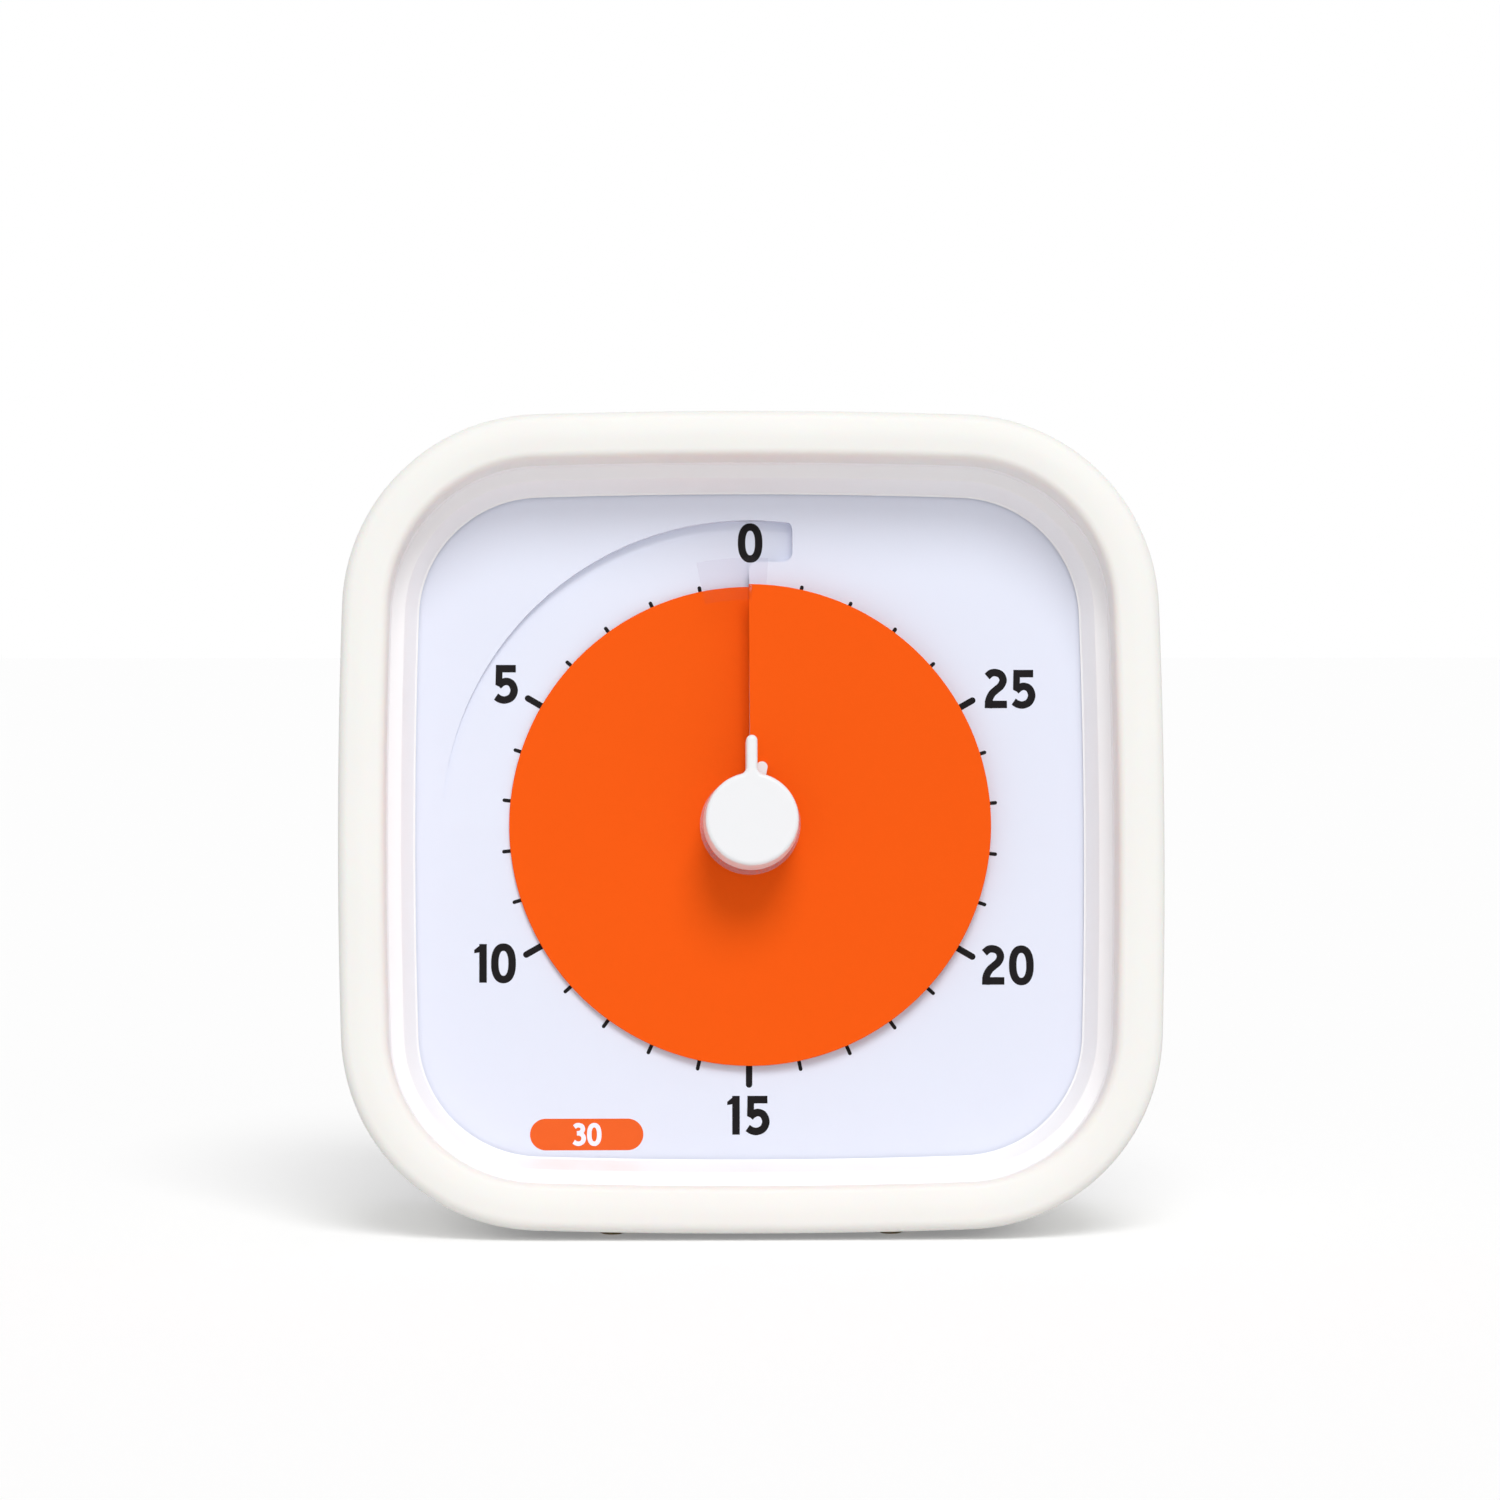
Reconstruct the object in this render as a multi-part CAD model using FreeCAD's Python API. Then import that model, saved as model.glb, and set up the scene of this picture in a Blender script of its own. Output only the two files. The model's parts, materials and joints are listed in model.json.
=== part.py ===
"""Square desk timer with a pointer knob and an orange disc that winds away through a slit in the dial.

The timer is modelled looking straight at its dial: x to the right, y up, s towards the viewer, with s = 0
on the front of the dial and the knob's axis at x = y = 0. Angles round the dial run counter-clockwise from
12 o'clock, the way its numbers run. At the end everything is stood up, leant back and set on its feet: +Z up,
front to -Y.
"""
import FreeCAD, Part

import math
import os

Vec = FreeCAD.Vector

# Case outline, in millimetres
HALF_WIDTH = 44.5
HALF_HEIGHT = 44.4
CORNER_RADIUS = 21.4
SIDE_BOW_RADIUS = 722.0
LEAN_DEG = 7.0
WIDEST_S = 7.9
BACK_S = -33.4
BACK_EDGE_RADIUS = 2.5

# Silicone sleeve: FACE_WIDTH is its front ring seen from the front
SLEEVE_WALL = 1.6
FACE_WIDTH = 5.1
SLEEVE_FRONT_S = 9.6
SLEEVE_LIP_S = 4.0
SLEEVE_END_S = -28.0
SLEEVE_OUTER_ROUND = 1.3
SLEEVE_INNER_ROUND = 1.8
FACE_CROWN = 0.3
FACE_CROWN_ROUND = 6.0
FACE_DRAFT = 0.1
SKIN_GAP = 0.05
SLEEVE_INNER = HALF_WIDTH - FACE_WIDTH

# Front housing: a wall down to a ledge round the dial
LIP_WIDTH = 1.2
RIM_ROUND = 0.9
BEZEL_WIDTH = 3.0
LEDGE_WIDTH = 1.45
LEDGE_HEIGHT = 0.55
LEDGE_FALL = 0.1
LEDGE_EDGE = 0.1
STEP_IN = 0.6
STEP_DOWN = 0.9
STEP_RISE = 0.2
CASE_WALL = 1.8
PART_LINE_S = -12.0
PART_GAP = 0.1
TONGUE_WALL = 1.0
TONGUE_REACH = 2.0
TONGUE_ROOT = 8.0
SNAP_WIDTH = 6.0
SNAP_REACH = 0.6
SNAP_HEIGHT = 1.2
SNAP_OFFSET = 14.0
RIM_INNER = SLEEVE_INNER + LIP_WIDTH
WINDOW = SLEEVE_INNER - BEZEL_WIDTH
WALL_FOOT = WINDOW + LEDGE_WIDTH

# Dial plate: its outline laps under the ledge
DIAL_LAP = 2.0
DIAL_THICKNESS = 2.0
DIAL_GAP = 0.2
DIAL_HOLE_RADIUS = 7.3
DISC_RECESS_WEB = 1.0
WEB_MARGIN = 1.0
DIAL_HALF = WINDOW + DIAL_LAP
HEIGHT_LOSS = HALF_WIDTH - HALF_HEIGHT

# Ramp from 9 to 12 o'clock, its pocket and the flap over the slit
RAMP_MARGIN = 2.8
RAMP_DEPTH = 1.5
RAMP_TURN_DEG = 90.0
RAMP_FLOOR = 1.0
RAMP_WALL = 1.4
BLOCK_FLOOR = 1.2
FLAP_LIP = 0.3
POCKET_WIDTH = 4.6
POCKET_RUN = 4.75
POCKET_CORNER = 1.1
FLAP_CORNER = 0.9
RAMP_RADIUS = WINDOW - max(HEIGHT_LOSS, 0.0) - RAMP_MARGIN
FLAP_RADIUS = RAMP_RADIUS - POCKET_WIDTH

# Time disc: one turn of a screw surface
FLAP_MARGIN = 2.7
DISC_FILM = 0.2
DISC_PITCH = 2.8
DISC_CLEARANCE = 0.1
DISC_GAP_DEG = 0.6
TAB_PROUD = 2.9
TAB_AHEAD_DEG = 11.5
TAB_BEHIND_DEG = 4.0
TAB_OVERLAP = 1.7
TAB_ROOM = 0.3
TAB_ROOM_DEG = 2.5
DISC_RADIUS = FLAP_RADIUS - FLAP_MARGIN
TAB_RADIUS = DISC_RADIUS + TAB_PROUD

# Hub, washer, knob and spindle
HUB_RADIUS = 4.8
HUB_REACH = 6.9
LOBE_WIDTH = 1.2
LOBE_DEG = -11.5
LOBE_THICKNESS = 0.5
HUB_MARGIN = 0.3
WASHER_RADIUS = 5.45
WASHER_THICKNESS = 0.4
SPINDLE_RADIUS = 2.0
SPINDLE_FLAT = 1.6
RUNNING_GAP = 0.06
KNOB_REAR_S = 5.0
KNOB_FRONT_S = 9.7
KNOB_RADIUS = 5.2
KNOB_DRAFT = 0.2
KNOB_ROUND = 0.45
POINTER_REACH = 9.1
POINTER_WIDTH = 1.2
POINTER_FILLET = 0.8
KNOB_SOCKET = 3.4

# Movement case, behind the room that the wound-away disc needs
MOVEMENT_HALF_X = 21.0
MOVEMENT_HALF_Y = 20.0
MOVEMENT_CORNER = 4.0
MOVEMENT_FRONT_S = -4.2
MOVEMENT_DEPTH = 9.8
MOVEMENT_WALL = 1.2
EAR_X = 24.0
EAR_Y = 18.0
EAR_RADIUS = 2.6
EAR_THICKNESS = 1.6
BOSS_RADIUS = 2.2

# Gear train
MODULE = 0.4
PRESSURE_ANGLE_DEG = 20.0
GEAR_BACKLASH = 0.16
CENTRE_SPREAD = 0.10
CENTRE_TEETH = 60
PINION_TEETH = 12
THIRD_TEETH = 30
FOURTH_TEETH = 24
GEAR_FACE = 0.8
ARBOR_RADIUS = 0.5
ARBOR_SINK = 0.6
THIRD_DEG = 140.0
FOURTH_DEG = 30.0
ROTOR_DEG = 0.0
ROTOR_RADIUS = 2.6
ROTOR_LENGTH = 1.6
POLE_WALL = 1.6

# Motor coil
COIL_X = 16.6
COIL_Y0 = -13.0
COIL_Y1 = 0.0
COIL_RADIUS = 2.2
BOBBIN_RADIUS = 1.3
BOBBIN_FLANGE = 0.8

# Case screws and their tubes
POST_INSET = 8.4
POST_RADIUS = 3.0
TUBE_RADIUS = 3.4
SCREW_SHAFT = 1.2
SCREW_HEAD = 2.1
SCREW_HEAD_HEIGHT = 1.4
SCREW_BITE = 6.0
TUBE_FLOOR = 2.0
HEAD_GAP = 0.3
SMALL_SHAFT = 0.8
SMALL_HEAD = 1.5
SMALL_HEAD_HEIGHT = 1.0
SMALL_BITE = 2.4
SCREW_FIT = 0.04
SHAFT_ROOM = 0.15
POST_X = DIAL_HALF - POST_INSET
POST_Y = POST_X - HEIGHT_LOSS

# Rear housing, battery bay and door
BACK_WALL = 2.0
BACK_LAND = 5.4
BACK_LAP = 1.0
CELL_RADIUS = 7.25
CELL_LENGTH = 49.3
NIPPLE_RADIUS = 2.6
NIPPLE_LENGTH = 1.2
CELL_Y = -14.0
CELL_FRONT_GAP = 0.3
CONTACT_ROOM = 3.2
BAY_WALL = 1.2
BAY_SIDE_GAP = 0.35
DOOR_THICKNESS = 1.6
DOOR_GAP = 0.15
TONGUE_LENGTH = 2.0
TONGUE_WIDTH = 5.0
TONGUE_X = 20.0
GRIP_RIB = 0.35
GRIP_RIBS = 5
GRIP_PITCH = 1.2
CONTACT_SHEET = 0.4
CONTACT_HALF = 4.5

# Circuit board and what is on it
BOARD_SIDE_ROOM = 2.6
BOARD_Y0 = 0.0
BOARD_Y1 = 29.0
BOARD_S = -22.4
BOARD_THICKNESS = 1.6
BOARD_POST_X = 18.0
BOARD_POST_Y = 25.0
BUZZER_X = -9.0
BUZZER_Y = 14.0
BUZZER_RADIUS = 10.5
BUZZER_THICKNESS = 3.4
BUZZER_RING = 1.2
SOUND_HOLE = 0.8
SOUND_PITCH = 3.0
SWITCH_X = 14.0
SWITCH_Y = 14.0
SWITCH_HALF_X = 4.6
SWITCH_HALF_Y = 2.2
SWITCH_HEIGHT = 3.6
SLIDER_TRAVEL = 4.0
SLIDER_STEM_X = 1.2
SLIDER_STEM_Y = 0.9
SLIDER_CAP_X = 2.0
SLIDER_CAP_Y = 1.6
SLIDER_PROUD = 0.4
FINGER_ROOM = 1.5
CAP_GROOVE = 0.2
CAP_GROOVE_PITCH = 1.1
RECESS_DEPTH = 1.0
SLIDER_GAP = 0.25

BOARD_HALF_X = POST_X - TUBE_RADIUS - BOARD_SIDE_ROOM
WIRE_RADIUS = 0.5
WIRE_STAND_OFF = 1.0

# Zero cam and switch
CAM_RADIUS = 3.2
CAM_LOBE = 4.2
CAM_THICKNESS = 1.2
LOBE_HALF = 0.8
SWITCH_LEAF = 0.3
LEAF_GAP = 0.3
LEAF_SET_IN = 0.8
LEAF_PITCH = 1.4
LEAF_TIP_X = 2.5
LEAF_LENGTH = 6.1
LEAF_EDGE = 0.2
ZERO_BLOCK_X = 4.4
ZERO_BLOCK_Y = 3.6

# Parts round the spindle
WHEEL_HUB_WALL = 1.4
WHEEL_HUB_BACK = 0.6
WHEEL_WINDOWS = 5
WINDOW_RADIUS = 2.6
WINDOW_PLACE = 7.4
WINDOW_START_DEG = 20.0
BUSHING_WALL = 1.0
BUSHING_FLANGE = 1.8
FLANGE_THICKNESS = 0.4
CLIP_ROOM = 0.2
CLIP_WALL = 1.3
CLIP_THICKNESS = 0.4
SPRING_INSIDE = 0.2
SPRING_SPREAD = 2.0
SPRING_SHEET = 0.4

# Dome feet
FOOT_X = 15.06
FOOT_DOME = 3.3
FOOT_BASE = 2.4
FOOT_PAD = 0.3
FOOT_FLAT = 1.0
FOOT_FRONT_S = 1.0
FOOT_REAR_S = -24.0

TAPER = math.tan(math.radians(LEAN_DEG))
shapes = {}


def cyl(radius, s0, s1, x=0.0, y=0.0):
    """A round bar along s from s0 to s1."""
    low = min(s0, s1)
    return Part.makeCylinder(radius, abs(s1 - s0), Vec(x, y, low))


def box(x0, x1, y0, y1, s0, s1):
    """A block between two corners."""
    return Part.makeBox(x1 - x0, y1 - y0, s1 - s0, Vec(x0, y0, s0))


def tube(inner, outer, s0, s1, x=0.0, y=0.0):
    """A round tube along s."""
    return cyl(outer, s0, s1, x, y).cut(cyl(inner, s0 - 1, s1 + 1, x, y))


def rounded_block(half_x, half_y, corner, s0, s1, x=0.0, y=0.0):
    """A block with rounded upright corners, centred on (x, y)."""
    block = box(x - half_x, x + half_x, y - half_y, y + half_y, s0, s1)
    upright = [e for e in block.Edges if abs(e.tangentAt(e.FirstParameter).z) > 0.9]
    return block.makeFillet(corner, upright)


def sector(inner, outer, start_deg, end_deg, s0, s1):
    """Part of a flat ring between two dial angles."""
    whole = Part.makeCylinder(outer, s1 - s0, Vec(0, 0, s0), Vec(0, 0, 1), end_deg - start_deg)
    part = whole.cut(cyl(inner, s0 - 1, s1 + 1))
    part.rotate(Vec(0, 0, 0), Vec(0, 0, 1), 90 + start_deg)
    return part


def screw_sweep(inner, outer, s0, s1, pitch, start_deg, end_deg):
    """A slab on a screw surface: s0 and s1 are its heights at 12 o'clock, and it rises by pitch each turn."""
    rise = pitch * start_deg / 360
    corners = [(inner, s0), (outer, s0), (outer, s1), (inner, s1), (inner, s0)]
    profile = Part.makePolygon([Vec(r, 0, s + rise) for r, s in corners])
    turn = (end_deg - start_deg) / 360
    helix = Part.makeHelix(pitch, pitch * turn, (inner + outer) / 2)
    slab = Part.Wire(helix.Edges).makePipeShell([profile], True, True)
    slab.rotate(Vec(0, 0, 0), Vec(0, 0, 1), 90 + start_deg)
    return slab


def corner_centre(half_x, half_y, radius, bow):
    """Centre of the corner arc that is tangent to the two bowed sides beside it."""
    cx = half_x - radius
    cy = half_y - radius
    for _ in range(20):
        cx = math.sqrt((bow - radius) ** 2 - cy ** 2) - (bow - half_x)
        cy = math.sqrt((bow - radius) ** 2 - cx ** 2) - (bow - half_y)
    return cx, cy


def outline(u):
    """The case's bowed square with round corners, at half-width u in the plane s = 0, as one wire."""
    inset = HALF_WIDTH - u
    half_x = u
    half_y = HALF_HEIGHT - inset
    radius = CORNER_RADIUS - inset
    bow = SIDE_BOW_RADIUS - inset
    cx, cy = corner_centre(half_x, half_y, radius, bow)
    side = math.atan2(cy, cx + bow - half_x)
    top = math.atan2(cx, cy + bow - half_y)

    def on_side(angle):
        return half_x - bow + bow * math.cos(angle), bow * math.sin(angle)

    def on_top(angle):
        return bow * math.sin(angle), half_y - bow + bow * math.cos(angle)

    middle = (side + math.pi / 2 - top) / 2
    corner = (cx + radius * math.cos(middle), cy + radius * math.sin(middle))
    quarter = [
        [on_side(0), on_side(side / 2), on_side(side)],
        [on_side(side), corner, on_top(top)],
        [on_top(top), on_top(top / 2), on_top(0)],
    ]
    edges = []
    for sign_x, sign_y in ((1, 1), (-1, 1), (-1, -1), (1, -1)):
        arcs = quarter if sign_x == sign_y else [arc[::-1] for arc in quarter[::-1]]
        for arc in arcs:
            points = [Vec(sign_x * px, sign_y * py, 0) for px, py in arc]
            edges.append(Part.Arc(*points).toShape())
    return Part.Wire(edges)


def plate(u, s0, s1):
    """A flat plate of the case's outline at half-width u."""
    face = Part.Face(outline(u))
    face.translate(Vec(0, 0, s0))
    return face.extrude(Vec(0, 0, s1 - s0))


def rounded_profile(corners):
    """A closed wire in the x-s plane through (u, s) or (u, s, radius) corners, radii limited to fit."""
    points = [Vec(c[0], 0, c[1]) for c in corners]
    count = len(points)
    backs = [(points[i - 1] - points[i]).normalize() for i in range(count)]
    aheads = [(points[(i + 1) % count] - points[i]).normalize() for i in range(count)]
    halves = [backs[i].getAngle(aheads[i]) / 2 for i in range(count)]
    radii = [c[2] if len(c) > 2 else 0.0 for c in corners]
    reaches = [radii[i] / math.tan(halves[i]) for i in range(count)]
    sides = [(points[(i + 1) % count] - points[i]).Length for i in range(count)]
    shares = [min(1.0, sides[i] / max(reaches[i] + reaches[(i + 1) % count], 1e-9)) for i in range(count)]
    reaches = [reaches[i] * min(shares[i], shares[i - 1]) for i in range(count)]
    edges = []
    for i in range(count):
        start = points[i] + backs[i] * reaches[i]
        end = points[i] + aheads[i] * reaches[i]
        if reaches[i] > 0.0:
            radius = reaches[i] * math.tan(halves[i])
            inward = (backs[i] + aheads[i]).normalize()
            middle = points[i] + inward * (radius / math.sin(halves[i]) - radius)
            edges.append(Part.Arc(start, middle, end).toShape())
        following = points[(i + 1) % count] + backs[(i + 1) % count] * reaches[(i + 1) % count]
        if (following - end).Length > 1e-6:
            edges.append(Part.LineSegment(end, following).toShape())
    return Part.Wire(edges)


def ring(corners):
    """A rounded profile swept right round the case's outline."""
    face = Part.Face(rounded_profile(corners))
    return outline(HALF_WIDTH).makePipe(face)


def fuse(first, *others):
    """One clean solid from several that touch or overlap."""
    whole = first.multiFuse(list(others))
    return whole.removeSplitter()


def mirrored(function, points):
    """The shapes that function makes at each of several places."""
    return [function(x, y) for x, y in points]


def four(x, y):
    """The four places at plus or minus x and y."""
    return [(x, y), (-x, y), (-x, -y), (x, -y)]


def screw(shaft, head, head_height, bite, head_s, x, y, facing=-1):
    """A pan-head cross-recess screw: its head's seat is at head_s and its head faces along facing."""
    body = cyl(shaft, head_s, head_s - facing * bite, x, y)
    cap = cyl(head, head_s, head_s + facing * head_height, x, y)
    rim = [e for e in cap.Edges if abs(e.CenterOfMass.z - head_s - facing * head_height) < 1e-6]
    cap = cap.makeFillet(head_height * 0.4, rim[:1])
    arm = head * 0.62
    slot = head * 0.14
    top = head_s + facing * head_height
    low = top - facing * head_height * 0.6
    bottom, upper = min(top, low), max(top, low)
    cross = box(x - arm, x + arm, y - slot, y + slot, bottom, upper)
    cross = cross.fuse(box(x - slot, x + slot, y - arm, y + arm, bottom, upper))
    return body.fuse(cap).cut(cross)


def case_half(s):
    """Half-width of the outside of the sleeve at height s, behind its widest line."""
    return HALF_WIDTH - (WIDEST_S - s) * TAPER


def skin_half(s):
    """Half-width of the hard case under the sleeve at height s."""
    return case_half(s) - SLEEVE_WALL - SKIN_GAP


def build_sleeve():
    """Silicone sleeve: rounded front ring, lip over the rim, thin skin back along the sides."""
    under = SLEEVE_FRONT_S - SLEEVE_WALL
    face = SLEEVE_FRONT_S - FACE_CROWN
    body = ring([
        (case_half(SLEEVE_END_S), SLEEVE_END_S, SLEEVE_WALL * 0.3),
        (HALF_WIDTH, WIDEST_S, SLEEVE_WALL * 2),
        (HALF_WIDTH - FACE_DRAFT, face, SLEEVE_OUTER_ROUND),
        (HALF_WIDTH - FACE_WIDTH / 2, SLEEVE_FRONT_S, FACE_CROWN_ROUND),
        (SLEEVE_INNER + FACE_DRAFT, face, SLEEVE_INNER_ROUND),
        (SLEEVE_INNER, SLEEVE_LIP_S, SLEEVE_WALL * 0.15),
        (RIM_INNER - SKIN_GAP, SLEEVE_LIP_S),
        (RIM_INNER - SKIN_GAP, under, RIM_ROUND),
        (case_half(under) - SLEEVE_WALL, under, RIM_ROUND),
        (case_half(SLEEVE_END_S) - SLEEVE_WALL, SLEEVE_END_S, SLEEVE_WALL * 0.25),
    ])
    for x, s in foot_places():
        body = body.cut(foot_pocket(x, s))
    return body


def build_front_housing():
    """Front housing: rim, steep wall with a faint step, ledge round the dial, side wall to the part line."""
    rim = SLEEVE_FRONT_S - SLEEVE_WALL - SKIN_GAP
    seat = SLEEVE_LIP_S - SKIN_GAP
    inner = DIAL_HALF + DIAL_GAP
    body = ring([
        (skin_half(PART_LINE_S), PART_LINE_S),
        (skin_half(rim), rim, RIM_ROUND),
        (RIM_INNER, rim, RIM_ROUND),
        (RIM_INNER, seat),
        (SLEEVE_INNER - SKIN_GAP, seat, STEP_RISE),
        (SLEEVE_INNER - SKIN_GAP * 3, seat - STEP_DOWN, STEP_RISE),
        (SLEEVE_INNER - STEP_IN, seat - STEP_DOWN - STEP_RISE, STEP_RISE),
        (WALL_FOOT, LEDGE_HEIGHT, STEP_RISE),
        (WINDOW + LEDGE_WIDTH * 0.2, LEDGE_HEIGHT - LEDGE_FALL, STEP_RISE),
        (WINDOW, LEDGE_EDGE),
        (WINDOW, 0),
        (inner, 0),
        (inner, PART_LINE_S),
    ])
    return fuse(body, *[snap(turn, offset) for turn in range(4) for offset in (-SNAP_OFFSET, SNAP_OFFSET)])


def snap(turn, offset):
    """One snap rib behind the dial's edge, on the side that lies turn quarters round from the right."""
    back = -DIAL_THICKNESS - PART_GAP
    wall = DIAL_HALF + DIAL_GAP - (HEIGHT_LOSS if turn % 2 else 0.0)
    low = offset - SNAP_WIDTH / 2
    rib = box(wall - SNAP_REACH, wall + SNAP_REACH, low, low + SNAP_WIDTH, back - SNAP_HEIGHT, back)
    rib.rotate(Vec(0, 0, 0), Vec(0, 0, 1), 90 * turn)
    return rib


def disc_base_s():
    """Height of the disc's underside where it comes out of the slit."""
    return -FLAP_LIP - DISC_CLEARANCE - DISC_FILM


def half_turn_wide():
    """A length that reaches past everything, for blocks that cut."""
    return 2 * HALF_WIDTH


def dial_blank():
    """Dial plate with a thin web over the hidden disc, thinned towards the flap by a screw surface."""
    web_radius = DISC_RADIUS + WEB_MARGIN
    inside = DIAL_HOLE_RADIUS * 0.7
    body = plate(DIAL_HALF, -DIAL_THICKNESS, 0)
    body = body.cut(cyl(web_radius, -DIAL_THICKNESS * 2, -DISC_RECESS_WEB))
    reach = DISC_RADIUS + WEB_MARGIN * 0.6
    thin = screw_sweep(inside, reach, -FLAP_LIP - DISC_PITCH, -FLAP_LIP, DISC_PITCH, -100, 2)
    return body.cut(thin)


def ramp_blank():
    """What the ramp is cut into: a thick band round it and a sloping floor inside the band."""
    web_radius = DISC_RADIUS + WEB_MARGIN
    pitch = RAMP_DEPTH * 360 / RAMP_TURN_DEG
    flap_deg = -(math.degrees(math.asin(POCKET_RUN / RAMP_RADIUS)) + 2 * TAB_ROOM_DEG)
    past = RAMP_TURN_DEG + 2
    band = sector(web_radius, RAMP_RADIUS + RAMP_WALL, flap_deg, past, -RAMP_DEPTH - BLOCK_FLOOR, -STEP_RISE)
    floor = screw_sweep(DIAL_HOLE_RADIUS * 0.8, web_radius + TAB_ROOM, -RAMP_DEPTH - RAMP_FLOOR,
                        -RAMP_DEPTH * 0.7, pitch, 0, past)
    far = half_turn_wide()
    return [band, floor.cut(box(-far, far, -far, far, -STEP_RISE / 2, far))]


def ramp_cut():
    """The ramp itself: deepest at 12 o'clock and running out to nothing at 9 o'clock."""
    pitch = RAMP_DEPTH * 360 / RAMP_TURN_DEG
    inside = DIAL_HOLE_RADIUS * 0.7
    return screw_sweep(inside, RAMP_RADIUS, -RAMP_DEPTH, RAMP_DEPTH * 0.3, pitch, 0, RAMP_TURN_DEG + 4)


def pocket_cut():
    """The pocket to the right of 12 o'clock, and under the flap the room that the tab's corner needs."""
    middle = (FLAP_RADIUS + RAMP_RADIUS) / 2
    half = (RAMP_RADIUS - FLAP_RADIUS) / 2
    far = half_turn_wide()
    pocket = rounded_block(POCKET_RUN, half, POCKET_CORNER, -RAMP_DEPTH, RAMP_DEPTH, 0, middle)
    pocket = pocket.common(box(-STEP_RISE, far, 0, far, -RAMP_DEPTH, RAMP_DEPTH))
    pocket = pocket.common(cyl(RAMP_RADIUS, -RAMP_DEPTH, RAMP_DEPTH))
    room_deg = -(TAB_BEHIND_DEG + TAB_ROOM_DEG)
    room = sector(DISC_RADIUS - STEP_RISE, TAB_RADIUS + TAB_ROOM, room_deg, 0.5, -RAMP_DEPTH, -FLAP_LIP)
    return [pocket, room]


def flap_corner_cut():
    """Rounds the flap's free corner."""
    low = -FLAP_LIP * 3
    edge = FLAP_RADIUS - FLAP_CORNER
    rounding = cyl(FLAP_CORNER, low, 1, FLAP_CORNER, edge)
    return box(-SKIN_GAP, FLAP_CORNER, edge, FLAP_RADIUS + SKIN_GAP, low, 1).cut(rounding)


def build_dial():
    """Dial plate: flat front, ramp, slit, flap and pocket, with the posts and bosses behind."""
    body = dial_blank()
    for blank in ramp_blank():
        body = body.fuse(blank)
    body = body.cut(ramp_cut())
    for cutter in pocket_cut():
        body = body.cut(cutter)
    body = body.cut(cyl(DIAL_HOLE_RADIUS, -half_turn_wide(), half_turn_wide()))
    body = body.cut(flap_corner_cut())
    root = -DIAL_THICKNESS * 0.9
    posts = mirrored(lambda x, y: cyl(POST_RADIUS, PART_LINE_S, root, x, y), four(POST_X, POST_Y))
    bosses = mirrored(lambda x, y: cyl(BOSS_RADIUS, ear_front_s(), root, x, y), four(EAR_X, EAR_Y))
    body = fuse(body, *posts, *bosses)
    for x, y in four(POST_X, POST_Y):
        body = body.cut(cyl(SCREW_SHAFT + SCREW_FIT, PART_LINE_S - 1, PART_LINE_S + SCREW_BITE, x, y))
    for x, y in four(EAR_X, EAR_Y):
        body = body.cut(cyl(SMALL_SHAFT + SCREW_FIT, ear_front_s() - 1, ear_front_s() + SMALL_BITE, x, y))
    return body


def build_disc():
    """Orange film: one whole turn of the screw surface, from the slit round to its leading edge."""
    low = disc_base_s()
    return screw_sweep(HUB_RADIUS, DISC_RADIUS, low, low + DISC_FILM, DISC_PITCH, 0, 360 - DISC_GAP_DEG)


def build_tab():
    """Clear tab that carries on from the disc's leading edge, level with the film."""
    low = disc_base_s()
    high = low + DISC_FILM
    lead = 360 - DISC_GAP_DEG
    inside = DISC_RADIUS - TAB_OVERLAP
    ahead = screw_sweep(inside, TAB_RADIUS, low, high, DISC_PITCH, lead, 360 + TAB_AHEAD_DEG)
    side = screw_sweep(DISC_RADIUS, TAB_RADIUS, low, high, DISC_PITCH, 360 - TAB_BEHIND_DEG, lead)
    return ahead.fuse(side)


def spindle_section(extra):
    """The spindle's round-with-two-flats section as a long solid, grown by extra."""
    flat = SPINDLE_FLAT + extra
    return cyl(SPINDLE_RADIUS + extra, -40, 20).common(box(-10, 10, -flat, flat, -40, 20))


def build_hub():
    """Hub: sleeve that slides on the spindle's flats, with the lobe that holds the leading edge."""
    low = disc_base_s() - HUB_MARGIN
    lobe_s = disc_base_s() + DISC_PITCH + DISC_FILM
    body = cyl(HUB_RADIUS, low, lobe_s + LOBE_THICKNESS)
    arm = box(-LOBE_WIDTH / 2, LOBE_WIDTH / 2, 0, HUB_REACH - LOBE_WIDTH / 2, lobe_s, lobe_s + LOBE_THICKNESS)
    tip = cyl(LOBE_WIDTH / 2, lobe_s, lobe_s + LOBE_THICKNESS, 0, HUB_REACH - LOBE_WIDTH / 2)
    lobe = arm.fuse(tip)
    lobe.rotate(Vec(0, 0, 0), Vec(0, 0, 1), LOBE_DEG)
    return fuse(body, lobe).cut(spindle_section(RUNNING_GAP))


def build_washer():
    """Clear flange that follows the film round the hub."""
    low = disc_base_s() + DISC_FILM
    end = 360 + LOBE_DEG - 10
    return screw_sweep(HUB_RADIUS, WASHER_RADIUS, low, low + WASHER_THICKNESS, DISC_PITCH, 4, end)


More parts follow.
